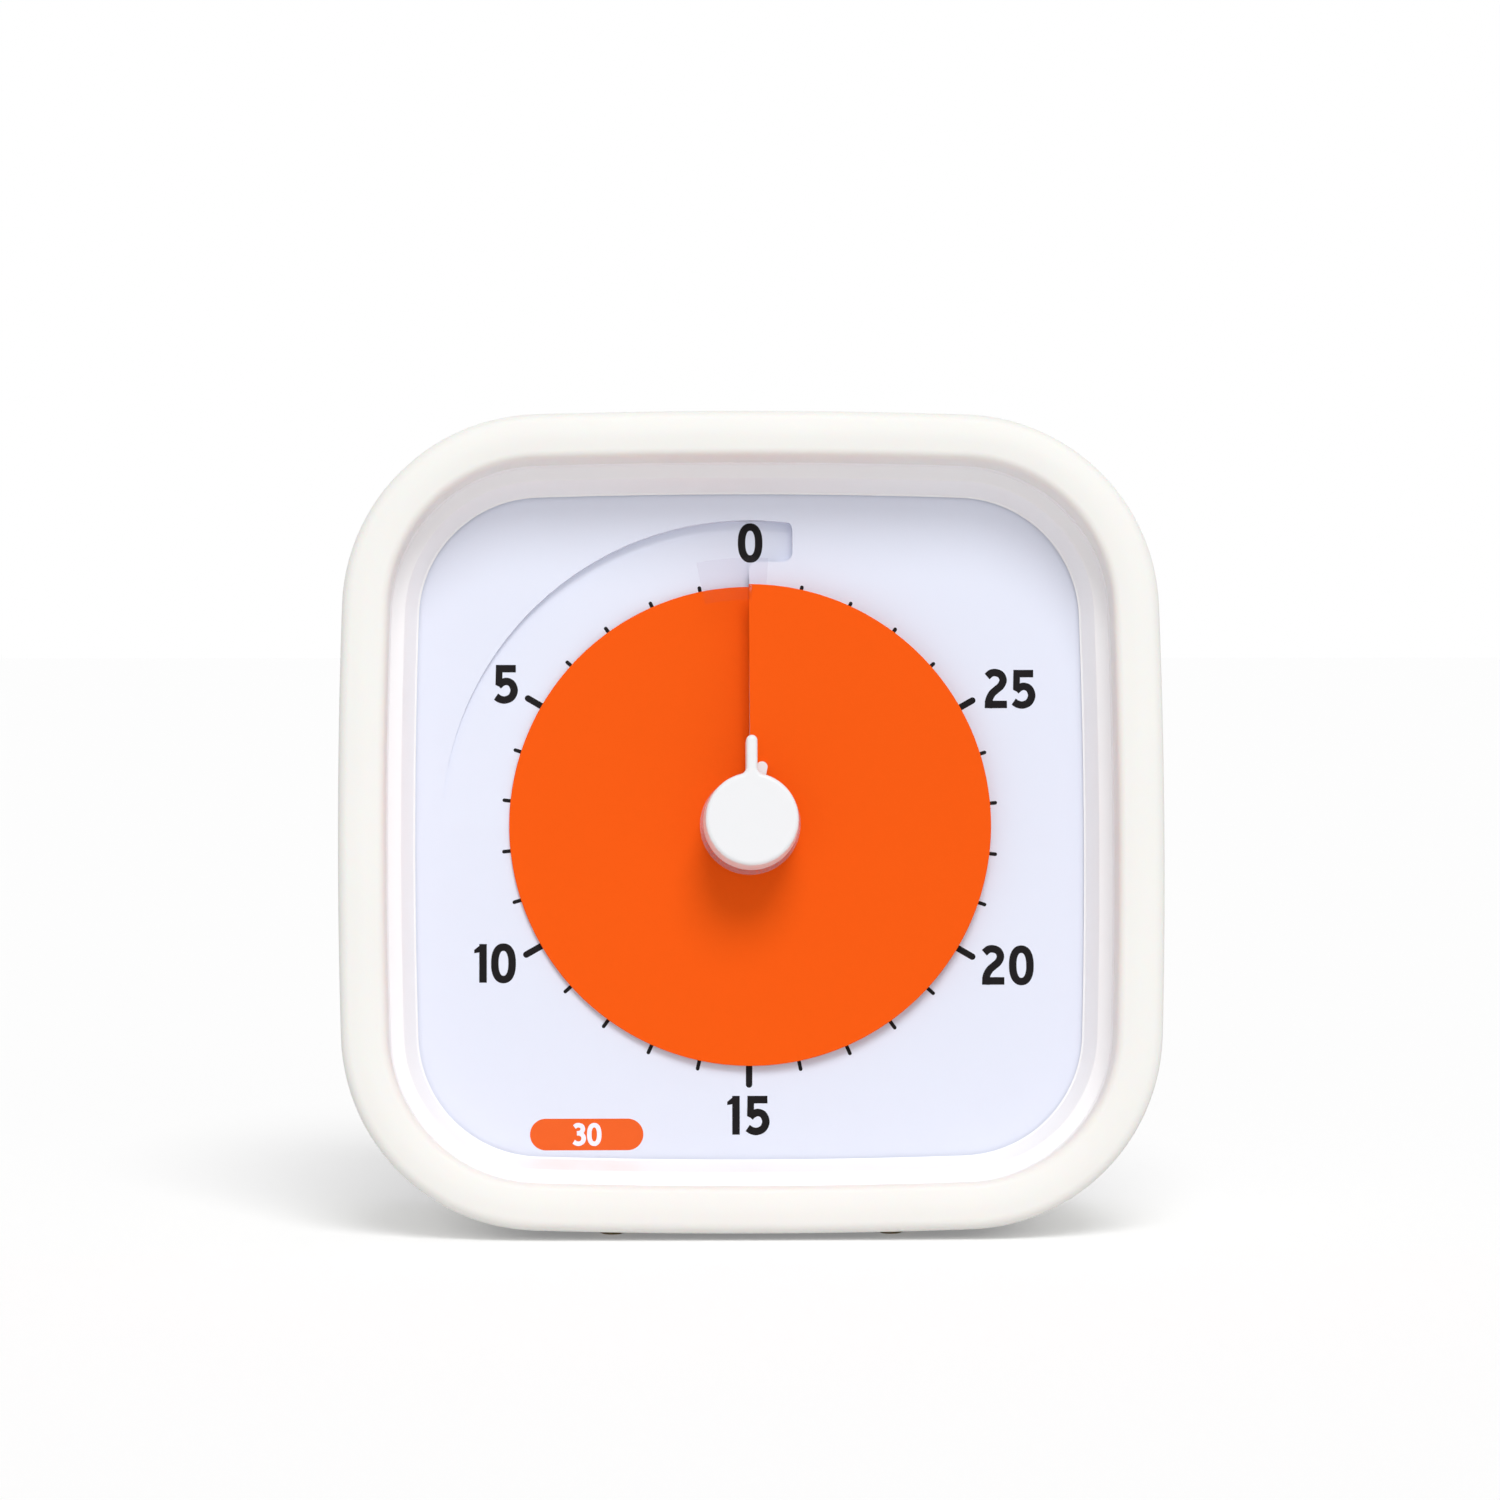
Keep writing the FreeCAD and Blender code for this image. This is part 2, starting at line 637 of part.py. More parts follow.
def build_knob():
    """Pointer knob: slightly drafted round grip with a straight pointer and a blind socket behind."""
    height = KNOB_FRONT_S - KNOB_REAR_S
    body = Part.makeCone(KNOB_RADIUS, KNOB_RADIUS - KNOB_DRAFT, height, Vec(0, 0, KNOB_REAR_S))
    arm_end = POINTER_REACH - POINTER_WIDTH / 2
    arm = box(-POINTER_WIDTH / 2, POINTER_WIDTH / 2, 0, arm_end, KNOB_REAR_S, KNOB_FRONT_S)
    tip = cyl(POINTER_WIDTH / 2, KNOB_REAR_S, KNOB_FRONT_S, 0, arm_end)
    body = fuse(body, arm, tip)
    roots = [e for e in body.Edges if is_pointer_root(e)]
    body = body.makeFillet(POINTER_FILLET, roots)
    rim = [e for e in body.Edges if abs(e.BoundBox.ZMin - KNOB_FRONT_S) < 1e-6]
    body = body.makeFillet(KNOB_ROUND, rim)
    return body.cut(spindle_section(0).common(box(-5, 5, -5, 5, KNOB_REAR_S - 1, KNOB_REAR_S + KNOB_SOCKET)))


def is_pointer_root(edge):
    """True for the two upright edges where the pointer leaves the round grip."""
    bounds = edge.BoundBox
    upright = bounds.ZLength > (KNOB_FRONT_S - KNOB_REAR_S) * 0.9
    near_grip = abs(edge.CenterOfMass.y) < KNOB_RADIUS + 0.3
    return upright and near_grip and abs(abs(edge.CenterOfMass.x) - POINTER_WIDTH / 2) < 0.1


def movement_back_s():
    """Back of the movement cover."""
    return MOVEMENT_FRONT_S - MOVEMENT_DEPTH


def ear_front_s():
    """Front face of the movement's ears, where they meet the dial's bosses."""
    return MOVEMENT_FRONT_S - MOVEMENT_WALL


def build_spindle():
    """Spindle: round where it runs in its bearings, with two flats in front for the hub and the knob."""
    front = KNOB_REAR_S + KNOB_SOCKET
    whole = cyl(SPINDLE_RADIUS, cam_s() - CAM_THICKNESS - 0.4, front)
    slab = box(-10, 10, -SPINDLE_FLAT, SPINDLE_FLAT, MOVEMENT_FRONT_S + 0.2, front + 1)
    flats = cyl(SPINDLE_RADIUS, MOVEMENT_FRONT_S + 0.2, front).cut(slab)
    return whole.cut(flats)


def cam_s():
    """Front face of the zero cam behind the movement cover."""
    return movement_back_s() - 0.3


def layer(index):
    """Height range of a gear layer, counted from the movement's front wall."""
    front = MOVEMENT_FRONT_S - MOVEMENT_WALL - 0.4
    high = front - index * (GEAR_FACE + 0.4)
    return high - GEAR_FACE, high


def involute(base, radius):
    """Roll angle of an involute from its base circle out to radius."""
    if radius <= base:
        return 0.0
    alpha = math.acos(base / radius)
    return math.tan(alpha) - alpha


def gear(teeth, s0, s1, bore, addendum=1.0):
    """A spur gear with involute flanks, with its teeth centred on angle 0 and its bore cut."""
    pitch = MODULE * teeth / 2
    base = pitch * math.cos(math.radians(PRESSURE_ANGLE_DEG))
    tip = pitch + addendum * MODULE
    root = pitch - 1.3 * MODULE
    half = math.pi / (2 * teeth) - GEAR_BACKLASH / (2 * pitch)
    start = max(base, root)
    radii = [start + (tip - start) * k / 4 for k in range(5)]
    flank = [(r, half + involute(base, pitch) - involute(base, r)) for r in radii]
    if root < base:
        flank.insert(0, (root, flank[0][1]))
    points = []
    for k in range(teeth):
        centre = 2 * math.pi * k / teeth
        for r, a in flank:
            points.append(Vec(r * math.cos(centre - a), r * math.sin(centre - a), s0))
        for r, a in reversed(flank):
            points.append(Vec(r * math.cos(centre + a), r * math.sin(centre + a), s0))
    points.append(points[0])
    blank = Part.Face(Part.makePolygon(points)).extrude(Vec(0, 0, s1 - s0))
    return blank.cut(cyl(bore, s0 - 1, s1 + 1)) if bore else blank


def mesh_distance(teeth):
    """Distance between a wheel's axis and that of the pinion it drives."""
    return MODULE * (teeth + PINION_TEETH) / 2 + CENTRE_SPREAD


def next_axis(start, teeth, angle_deg):
    """The place of the next arbor, at an angle measured from the x axis."""
    reach = mesh_distance(teeth)
    angle = math.radians(angle_deg)
    return start[0] + reach * math.cos(angle), start[1] + reach * math.sin(angle)


def third_axis():
    """Axis of the third wheel."""
    return next_axis((0.0, 0.0), CENTRE_TEETH, THIRD_DEG)


def fourth_axis():
    """Axis of the fourth wheel."""
    return next_axis(third_axis(), THIRD_TEETH, FOURTH_DEG)


def rotor_axis():
    """Axis of the motor's rotor."""
    return next_axis(fourth_axis(), FOURTH_TEETH, ROTOR_DEG)


def meshing_turn(teeth, driver_teeth, driver_turn, line_deg):
    """Turn of a gear, in degrees, that puts one of its gaps where the driver's tooth meets it."""
    pitch_driver = 360 / driver_teeth
    pitch_driven = 360 / teeth
    phase = ((line_deg - driver_turn) / pitch_driver) % 1.0
    return line_deg + 180 + (phase + 0.5) * pitch_driven


def arbor(place):
    """A thin shaft between the movement's front wall and its cover."""
    front = MOVEMENT_FRONT_S - MOVEMENT_WALL + ARBOR_SINK
    back = movement_back_s() + MOVEMENT_WALL - ARBOR_SINK
    return cyl(ARBOR_RADIUS, back, front, *place)


def turned(shape, degrees, place):
    """A shape turned about s and then moved to a place."""
    shape.rotate(Vec(0, 0, 0), Vec(0, 0, 1), degrees)
    shape.translate(Vec(place[0], place[1], 0))
    return shape


def build_train():
    """Centre wheel on the spindle, two wheels with pinions, and the rotor, all in mesh."""
    centre = layer(3)
    second = layer(1)
    first = layer(0)
    hub = tube(SPINDLE_RADIUS, SPINDLE_RADIUS + WHEEL_HUB_WALL, centre[0] - WHEEL_HUB_BACK, centre[1] + 0.3)
    wheel = gear(CENTRE_TEETH, centre[0], centre[1], SPINDLE_RADIUS, 0.7)
    for k in range(WHEEL_WINDOWS):
        angle = 2 * math.pi * k / WHEEL_WINDOWS + math.radians(WINDOW_START_DEG)
        x = WINDOW_PLACE * math.cos(angle)
        y = WINDOW_PLACE * math.sin(angle)
        wheel = wheel.cut(cyl(WINDOW_RADIUS, centre[0] - 1, centre[1] + 1, x, y))
    shapes["centre_wheel"] = wheel.fuse(hub)

    third_turn = meshing_turn(PINION_TEETH, CENTRE_TEETH, 0, THIRD_DEG)
    third_pinion = turned(gear(PINION_TEETH, centre[0] - 0.2, second[0], 0), third_turn, third_axis())
    third_wheel = turned(gear(THIRD_TEETH, second[0], second[1], 0, 0.7), third_turn, third_axis())
    shapes["third_wheel"] = third_wheel.fuse(third_pinion).fuse(arbor(third_axis()))

    fourth_turn = meshing_turn(PINION_TEETH, THIRD_TEETH, third_turn, FOURTH_DEG)
    fourth_pinion = turned(gear(PINION_TEETH, second[0] - 0.3, first[0], 0), fourth_turn, fourth_axis())
    fourth_wheel = turned(gear(FOURTH_TEETH, first[0], first[1], 0, 0.7), fourth_turn, fourth_axis())
    shapes["fourth_wheel"] = fourth_wheel.fuse(fourth_pinion).fuse(arbor(fourth_axis()))

    rotor_turn = meshing_turn(PINION_TEETH, FOURTH_TEETH, fourth_turn, ROTOR_DEG)
    pinion = turned(gear(PINION_TEETH, first[0] - 0.5, first[1] + 0.1, 0), rotor_turn, rotor_axis())
    magnet = cyl(ROTOR_RADIUS, first[0] - 0.5 - ROTOR_LENGTH, first[0] - 0.5, *rotor_axis())
    shapes["motor_rotor"] = pinion.fuse(magnet).fuse(arbor(rotor_axis()))


def build_motor():
    """Stator plate round the rotor, and the coil on its bobbin beside it."""
    high = layer(0)[0] - 0.9
    low = high - 0.8
    rx, ry = rotor_axis()
    pole = cyl(ROTOR_RADIUS + POLE_WALL, low, high, rx, ry)
    bridge = box(rx, COIL_X + 1.6, ry - 1.6, ry + 1.6, low, high)
    arm = box(COIL_X - 1.6, COIL_X + 1.6, COIL_Y0 - 2.4, ry + 1.6, low, high)
    plate_shape = fuse(pole, bridge, arm).cut(cyl(ROTOR_RADIUS + 0.4, low - 1, high + 1, rx, ry))
    middle = (low + high) / 2
    shapes["motor_stator"] = plate_shape

    def along(radius, y0, y1):
        return Part.makeCylinder(radius, y1 - y0, Vec(COIL_X, y0, middle), Vec(0, 1, 0))

    core = along(BOBBIN_RADIUS + 0.6, COIL_Y0, COIL_Y1)
    ends = [along(COIL_RADIUS + 0.3, COIL_Y0, COIL_Y0 + BOBBIN_FLANGE),
            along(COIL_RADIUS + 0.3, COIL_Y1 - BOBBIN_FLANGE, COIL_Y1)]
    slot = box(COIL_X - 1.6, COIL_X + 1.6, COIL_Y0 - 5, COIL_Y1 + 5, low, high)
    shapes["coil_bobbin"] = fuse(core, *ends).cut(slot)
    wound = along(COIL_RADIUS, COIL_Y0 + BOBBIN_FLANGE, COIL_Y1 - BOBBIN_FLANGE)
    shapes["coil_winding"] = wound.cut(along(BOBBIN_RADIUS + 0.6, COIL_Y0, COIL_Y1))


def ears(s0, s1):
    """Four screw ears on the movement case."""
    parts = []
    for x, y in four(EAR_X, EAR_Y):
        side = math.copysign(1, x)
        inner = side * (MOVEMENT_HALF_X - 1)
        low, high = min(inner, x), max(inner, x)
        parts.append(cyl(EAR_RADIUS, s0, s1, x, y))
        parts.append(box(low, high, y - EAR_RADIUS, y + EAR_RADIUS, s0, s1))
    return parts


def build_movement_case():
    """Movement case: front wall with the bearing hole, side walls and screw ears."""
    front = MOVEMENT_FRONT_S
    back = movement_back_s() + MOVEMENT_WALL
    shell = rounded_block(MOVEMENT_HALF_X, MOVEMENT_HALF_Y, MOVEMENT_CORNER, back, front)
    inside = rounded_block(MOVEMENT_HALF_X - MOVEMENT_WALL, MOVEMENT_HALF_Y - MOVEMENT_WALL,
                           MOVEMENT_CORNER - MOVEMENT_WALL, back - 1, front - MOVEMENT_WALL)
    ear_s1 = ear_front_s()
    outer = fuse(shell, *ears(ear_s1 - EAR_THICKNESS, ear_s1))
    body = outer.cut(inside)
    body = body.cut(cyl(SPINDLE_RADIUS + RUNNING_GAP, back - 5, front + 5))
    for x, y in four(EAR_X, EAR_Y):
        body = body.cut(cyl(SMALL_SHAFT + 0.15, ear_s1 - 5, ear_s1 + 0.1, x, y))
    sink = MOVEMENT_FRONT_S - MOVEMENT_WALL + ARBOR_SINK + 0.1
    for place in (third_axis(), fourth_axis(), rotor_axis()):
        body = body.cut(cyl(ARBOR_RADIUS + RUNNING_GAP, sink - 3, sink, *place))
    low = layer(0)[0] - 0.9 - 0.8
    return fuse(body, *coil_supports(low)).cut(stator_room(low))


def coil_supports(low):
    """Two pads that carry the stator plate off the front wall."""
    front = MOVEMENT_FRONT_S - MOVEMENT_WALL + 0.2
    pads = [box(COIL_X - 1.5, COIL_X + 1.5, COIL_Y0 - 3.2, COIL_Y0 - 0.4, low + 0.8, front)]
    pads.append(box(COIL_X - 1.5, COIL_X + 1.5, COIL_Y1 + 0.4, COIL_Y1 + 3.2, low + 0.8, front))
    return pads


def stator_room(low):
    """The stator plate's own space, so that its pads stop at its face."""
    return box(COIL_X - 3, COIL_X + 3, COIL_Y0 - 4, COIL_Y1 + 4, low, low + 0.8)


def build_movement_cover():
    """Movement cover: back wall with the bushing's hole and arbor sockets."""
    back = movement_back_s()
    front = back + MOVEMENT_WALL
    body = rounded_block(MOVEMENT_HALF_X, MOVEMENT_HALF_Y, MOVEMENT_CORNER, back, front)
    body = body.cut(cyl(SPINDLE_RADIUS + 1.0, back - 1, front + 1))
    sink = front - ARBOR_SINK - 0.1
    for place in (third_axis(), fourth_axis(), rotor_axis()):
        body = body.cut(cyl(ARBOR_RADIUS + RUNNING_GAP, sink, front + 1, *place))
    return body


def build_spindle_parts():
    """Bushing, clutch spring, clip and zero cam round the spindle."""
    back = movement_back_s()
    front = back + MOVEMENT_WALL
    bore = SPINDLE_RADIUS + RUNNING_GAP
    flange_top = front + FLANGE_THICKNESS
    sleeve = tube(bore, SPINDLE_RADIUS + BUSHING_WALL, back, flange_top)
    flange = tube(bore, SPINDLE_RADIUS + BUSHING_FLANGE, front, flange_top)
    shapes["spindle_bushing"] = fuse(sleeve, flange)
    clip_low = flange_top + CLIP_ROOM
    clip_top = clip_low + CLIP_THICKNESS
    shapes["spindle_clip"] = tube(SPINDLE_RADIUS, SPINDLE_RADIUS + CLIP_WALL, clip_low, clip_top)
    rise = layer(3)[0] - WHEEL_HUB_BACK - clip_top
    seat = Vec(0, 0, clip_top)
    small = SPINDLE_RADIUS + SPRING_INSIDE
    wide = small + SPRING_SPREAD
    outer = Part.makeCone(small + SPRING_SHEET, wide + SPRING_SHEET, rise, seat)
    inner = Part.makeCone(small, wide, rise, seat)
    shapes["clutch_spring"] = outer.cut(inner)
    cam = tube(SPINDLE_RADIUS, CAM_RADIUS, cam_s() - CAM_THICKNESS, cam_s())
    root = (SPINDLE_RADIUS + CAM_RADIUS) / 2
    lobe = box(-LOBE_HALF, LOBE_HALF, root, CAM_LOBE, cam_s() - CAM_THICKNESS, cam_s())
    shapes["zero_cam"] = fuse(cam, lobe)


def build_zero_switch():
    """Zero switch: block on the movement cover with two leaves beside the cam."""
    back = movement_back_s()
    low = cam_s() - CAM_THICKNESS
    side = -LEAF_LENGTH + LEAF_TIP_X
    block_y = CAM_LOBE + LEAF_GAP + LEAF_SET_IN - LEAF_EDGE / 2
    block = box(side - ZERO_BLOCK_X, side + SKIN_GAP * 2, block_y, block_y + ZERO_BLOCK_Y, low, back)
    leaves = []
    for k in range(2):
        under = CAM_LOBE + LEAF_GAP + LEAF_SET_IN + k * LEAF_PITCH
        over = under + SWITCH_LEAF
        leaves.append(box(side, LEAF_TIP_X, under, over, low + LEAF_EDGE, back - LEAF_EDGE * 2))
    return fuse(block, *leaves)


def bay_half_x():
    """Half-width of the battery bay inside."""
    return CELL_LENGTH / 2 + CONTACT_ROOM


def bay_half_y():
    """Half-height of the battery bay inside."""
    return CELL_RADIUS + BAY_SIDE_GAP


def bay_front_s():
    """Inside face of the battery bay's front wall."""
    return cell_s() + CELL_RADIUS + CELL_FRONT_GAP


def cell_s():
    """Height of the cell's axis: it lies just inside the door."""
    return BACK_S + DOOR_THICKNESS + CELL_FRONT_GAP + CELL_RADIUS


def door_bounds(gap):
    """Low and high corners of the door, shrunk by gap."""
    half_x = bay_half_x() + BAY_WALL - gap
    half_y = bay_half_y() + BAY_WALL - gap
    return -half_x, half_x, CELL_Y - half_y, CELL_Y + half_y


def build_rear_housing():
    """Rear housing: side and back walls, battery bay, screw tubes, buzzer ring, board posts, switch slot."""
    wall = skin_half(PART_LINE_S) - CASE_WALL
    back_in = BACK_S + BACK_WALL
    land = case_half(BACK_S) - BACK_LAND
    tongue = DIAL_HALF + DIAL_GAP - PART_GAP
    flush = SLEEVE_END_S - PART_GAP
    body = ring([
        (skin_half(PART_LINE_S), PART_LINE_S - PART_GAP),
        (skin_half(flush), flush),
        (case_half(flush), flush, 0.3),
        (case_half(BACK_S), BACK_S, BACK_EDGE_RADIUS),
        (land - BACK_LAP, BACK_S),
        (land - BACK_LAP, back_in),
        (case_half(back_in) - SLEEVE_WALL - CASE_WALL, back_in, BACK_EDGE_RADIUS * 0.4),
        (tongue - TONGUE_WALL, PART_LINE_S - TONGUE_ROOT),
        (tongue - TONGUE_WALL, PART_LINE_S + TONGUE_REACH),
        (tongue, PART_LINE_S + TONGUE_REACH),
        (tongue, PART_LINE_S - PART_GAP * 5),
        (wall, PART_LINE_S - PART_GAP * 5),
        (wall, PART_LINE_S - PART_GAP),
    ])
    parts = [plate(land, BACK_S, back_in)]
    x0, x1, y0, y1 = door_bounds(0)
    parts.append(box(x0, x1, y0, y1, back_in - 0.5, bay_front_s() + BAY_WALL))
    for x, y in four(POST_X, POST_Y):
        parts.append(cyl(TUBE_RADIUS, BACK_S + 0.5, PART_LINE_S - PART_GAP, x, y))
    for x in (-BOARD_POST_X, BOARD_POST_X):
        parts.append(cyl(BOSS_RADIUS, BACK_S + 0.5, BOARD_S - BOARD_THICKNESS, x, BOARD_POST_Y))
    ring_out = BUZZER_RADIUS + PART_GAP + BUZZER_RING
    ring_top = back_in + BUZZER_THICKNESS
    parts.append(tube(BUZZER_RADIUS + PART_GAP, ring_out, BACK_S + 0.5, ring_top, BUZZER_X, BUZZER_Y))
    body = fuse(body, *parts)

    bay_x = bay_half_x()
    bay_y = bay_half_y()
    body = body.cut(box(-bay_x, bay_x, CELL_Y - bay_y, CELL_Y + bay_y, BACK_S - 1, bay_front_s()))
    body = body.cut(box(x0, x1, y0, y1, BACK_S - 1, BACK_S + DOOR_THICKNESS + DOOR_GAP))
    for sign in (-1, 1):
        centre = sign * TONGUE_X
        half = TONGUE_WIDTH / 2 + DOOR_GAP
        body = body.cut(box(centre - half, centre + half, y0 - TONGUE_LENGTH - 1.2, y0 + BAY_WALL + 0.1,
                            BACK_S + DOOR_THICKNESS + DOOR_GAP, BACK_S + DOOR_THICKNESS + 3.0))
    for x, y in four(POST_X, POST_Y):
        body = body.cut(cyl(SCREW_HEAD + HEAD_GAP, BACK_S - 1, case_seat_s(), x, y))
        body = body.cut(cyl(SCREW_SHAFT + 0.2, BACK_S, PART_LINE_S + 1, x, y))
    for x in (-BOARD_POST_X, BOARD_POST_X):
        seat = BOARD_S - BOARD_THICKNESS
        body = body.cut(cyl(SMALL_SHAFT + SCREW_FIT, seat - SMALL_BITE, seat + 1, x, BOARD_POST_Y))
    for x, y in sound_holes():
        body = body.cut(cyl(SOUND_HOLE, BACK_S - 1, back_in + 1, x, y))
    return body.cut(switch_cut())


def case_seat_s():
    """Where the case screws' heads sit, at the bottom of their tubes."""
    return PART_LINE_S - PART_GAP - TUBE_FLOOR


def sound_holes():
    """Places of the sound holes: one in the middle and two rings of them."""
    places = [(BUZZER_X, BUZZER_Y)]
    for row in (1, 2):
        for k in range(6 * row):
            angle = 2 * math.pi * k / (6 * row)
            reach = row * SOUND_PITCH
            places.append((BUZZER_X + reach * math.cos(angle), BUZZER_Y + reach * math.sin(angle)))
    return places


def switch_cut():
    """Finger recess and slot for the volume slider, with room for its travel."""
    half_x = SLIDER_TRAVEL / 2 + SLIDER_GAP + SLIDER_CAP_X + FINGER_ROOM
    half_y = SLIDER_CAP_Y + FINGER_ROOM * 0.8
    floor = BACK_S + RECESS_DEPTH
    recess = rounded_block(half_x, half_y, FINGER_ROOM, BACK_S - 1, floor, slider_mid_x(), SWITCH_Y)
    return recess.fuse(slider_slot(BACK_S - 1, BACK_S + BACK_WALL + 1))


def slider_mid_x():
    """Middle of the volume slider's travel."""
    return SWITCH_X + SLIDER_TRAVEL / 2


def slider_slot(low, high):
    """Room that the slider's stem sweeps, with its gap all round."""
    mid = slider_mid_x()
    half_x = SLIDER_TRAVEL / 2 + SLIDER_GAP + SLIDER_STEM_X
    half_y = SLIDER_STEM_Y + SLIDER_GAP
    return box(mid - half_x, mid + half_x, SWITCH_Y - half_y, SWITCH_Y + half_y, low, high)


def build_battery_door():
    """Battery door: flat panel with grip ribs, and two tongues under the edge it turns on."""
    x0, x1, y0, y1 = door_bounds(DOOR_GAP)
    inner = BACK_S + DOOR_THICKNESS
    body = box(x0, x1, y0, y1, BACK_S, inner)
    grip = []
    for k in range(GRIP_RIBS):
        y = y1 - 2.0 - k * GRIP_PITCH
        grip.append(box(-6 + k * 0.8, 6 - k * 0.8, y - 0.5, y, BACK_S, BACK_S + GRIP_RIB))
    for groove in grip:
        body = body.cut(groove)
    tongues = []
    for sign in (-1, 1):
        centre = sign * TONGUE_X
        low, high = centre - TONGUE_WIDTH / 2, centre + TONGUE_WIDTH / 2
        tongues.append(box(low, high, y0 - TONGUE_LENGTH, y0 + 1.0, inner + 0.35, inner + 1.35))
        tongues.append(box(low, high, y0 + 0.05, y0 + 1.0, inner - 0.5, inner + 0.6))
    return fuse(body, *tongues)


def door_axis():
    """A point on the door's turning line: its lower outer edge."""
    return 0.0, door_bounds(DOOR_GAP)[2], BACK_S


def build_battery():
    """AA cell lying across the bay, with its button to the right."""
    left = -CELL_LENGTH / 2 - 0.4
    axis = Vec(1, 0, 0)
    can = Part.makeCylinder(CELL_RADIUS, CELL_LENGTH, Vec(left, CELL_Y, cell_s()), axis)
    ends = [e for e in can.Edges if abs(e.BoundBox.XLength) < 1e-6]
    can = can.makeFillet(0.5, ends)
    button = Part.makeCylinder(NIPPLE_RADIUS, NIPPLE_LENGTH, Vec(left + CELL_LENGTH, CELL_Y, cell_s()), axis)
    return can.fuse(button)


def build_contacts():
    """Battery contacts: flat plate at the button and a folded leaf at the flat end."""
    bay = bay_half_x()
    right_face = -CELL_LENGTH / 2 - 0.4 + CELL_LENGTH + NIPPLE_LENGTH
    sheet = CONTACT_SHEET
    low, high = cell_s() - CONTACT_HALF, cell_s() + CONTACT_HALF
    y0, y1 = CELL_Y - CONTACT_HALF, CELL_Y + CONTACT_HALF
    flat = box(bay - sheet, bay, y0, y1, low, high)
    root = Vec(bay - sheet + 0.1, CELL_Y, cell_s())
    dimple = Part.makeCone(2.4, 1.6, bay - sheet - right_face + 0.1, root, Vec(-1, 0, 0))
    shapes["battery_plate_contact"] = fuse(flat, dimple)
    left_face = -CELL_LENGTH / 2 - 0.4
    base = box(-bay, -bay + sheet, y0, y1, low, high)
    fold = Part.makePolygon([
        Vec(-bay + sheet - 0.1, y0 + 1, high), Vec(-bay + sheet + 0.3, y0 + 1, high),
        Vec(left_face, y0 + 1, cell_s() + 0.6), Vec(left_face, y0 + 1, cell_s() - 0.6),
        Vec(-bay + sheet + 0.3, y0 + 1, low), Vec(-bay + sheet - 0.1, y0 + 1, low),
        Vec(left_face - sheet, y0 + 1, cell_s() - 0.7), Vec(left_face - sheet, y0 + 1, cell_s() + 0.7),
        Vec(-bay + sheet - 0.1, y0 + 1, high)])
    leaf = Part.Face(fold).extrude(Vec(0, 2 * CONTACT_HALF - 2, 0))
    shapes["battery_leaf_contact"] = fuse(base, leaf)


def build_board():
    """Circuit board on two posts, with its chip, crystal and switch body behind."""
    back = BOARD_S - BOARD_THICKNESS
    body = box(-BOARD_HALF_X, BOARD_HALF_X, BOARD_Y0, BOARD_Y1, back, BOARD_S)
    for x in (-BOARD_POST_X, BOARD_POST_X):
        body = body.cut(cyl(SMALL_SHAFT + 0.15, back - 1, BOARD_S + 1, x, BOARD_POST_Y))
    shapes["circuit_board"] = body
    shapes["control_chip"] = box(4.0, 9.0, 19.5, 26.5, back - 1.5, back)
    crystal = Part.makeCylinder(1.0, 6.0, Vec(-4.0, 27.5, back - 1.0), Vec(1, 0, 0))
    shapes["quartz_crystal"] = crystal
    mid = slider_mid_x()
    low = back - SWITCH_HEIGHT
    shell = box(mid - SWITCH_HALF_X, mid + SWITCH_HALF_X, SWITCH_Y - SWITCH_HALF_Y, SWITCH_Y + SWITCH_HALF_Y,
                low, back)
    shapes["switch_body"] = shell.cut(slider_slot(low - 1, back - 0.8))


def switch_front_s():
    """Where the switch body meets the back of the board."""
    return BOARD_S - BOARD_THICKNESS


def build_slider():
    """Volume slider: stem out of the switch body, and a ribbed cap in the back wall's recess."""
    inner = switch_front_s() - SWITCH_HEIGHT + 2.0
    cap_in = BACK_S + RECESS_DEPTH - SLIDER_GAP
    cap_out = BACK_S - SLIDER_PROUD
    x0, x1 = SWITCH_X - SLIDER_STEM_X, SWITCH_X + SLIDER_STEM_X
    stem = box(x0, x1, SWITCH_Y - SLIDER_STEM_Y, SWITCH_Y + SLIDER_STEM_Y, cap_out + 0.2, inner)
    y0, y1 = SWITCH_Y - SLIDER_CAP_Y, SWITCH_Y + SLIDER_CAP_Y
    body = fuse(stem, box(SWITCH_X - SLIDER_CAP_X, SWITCH_X + SLIDER_CAP_X, y0, y1, cap_out, cap_in))
    for k in (-1, 0, 1):
        x = SWITCH_X + k * CAP_GROOVE_PITCH
        groove = box(x - CAP_GROOVE, x + CAP_GROOVE, y0, y1, cap_out, cap_out + CAP_GROOVE * 1.5)
        body = body.cut(groove)
    return body


def build_buzzer():
    """Buzzer: thin metal plate with its disc, held against the back wall inside the ring."""
    seat = BACK_S + BACK_WALL
    can = cyl(BUZZER_RADIUS, seat, seat + BUZZER_THICKNESS, BUZZER_X, BUZZER_Y)
    return can.cut(cyl(BUZZER_RADIUS - 1.0, seat - 1, seat + 0.8, BUZZER_X, BUZZER_Y))


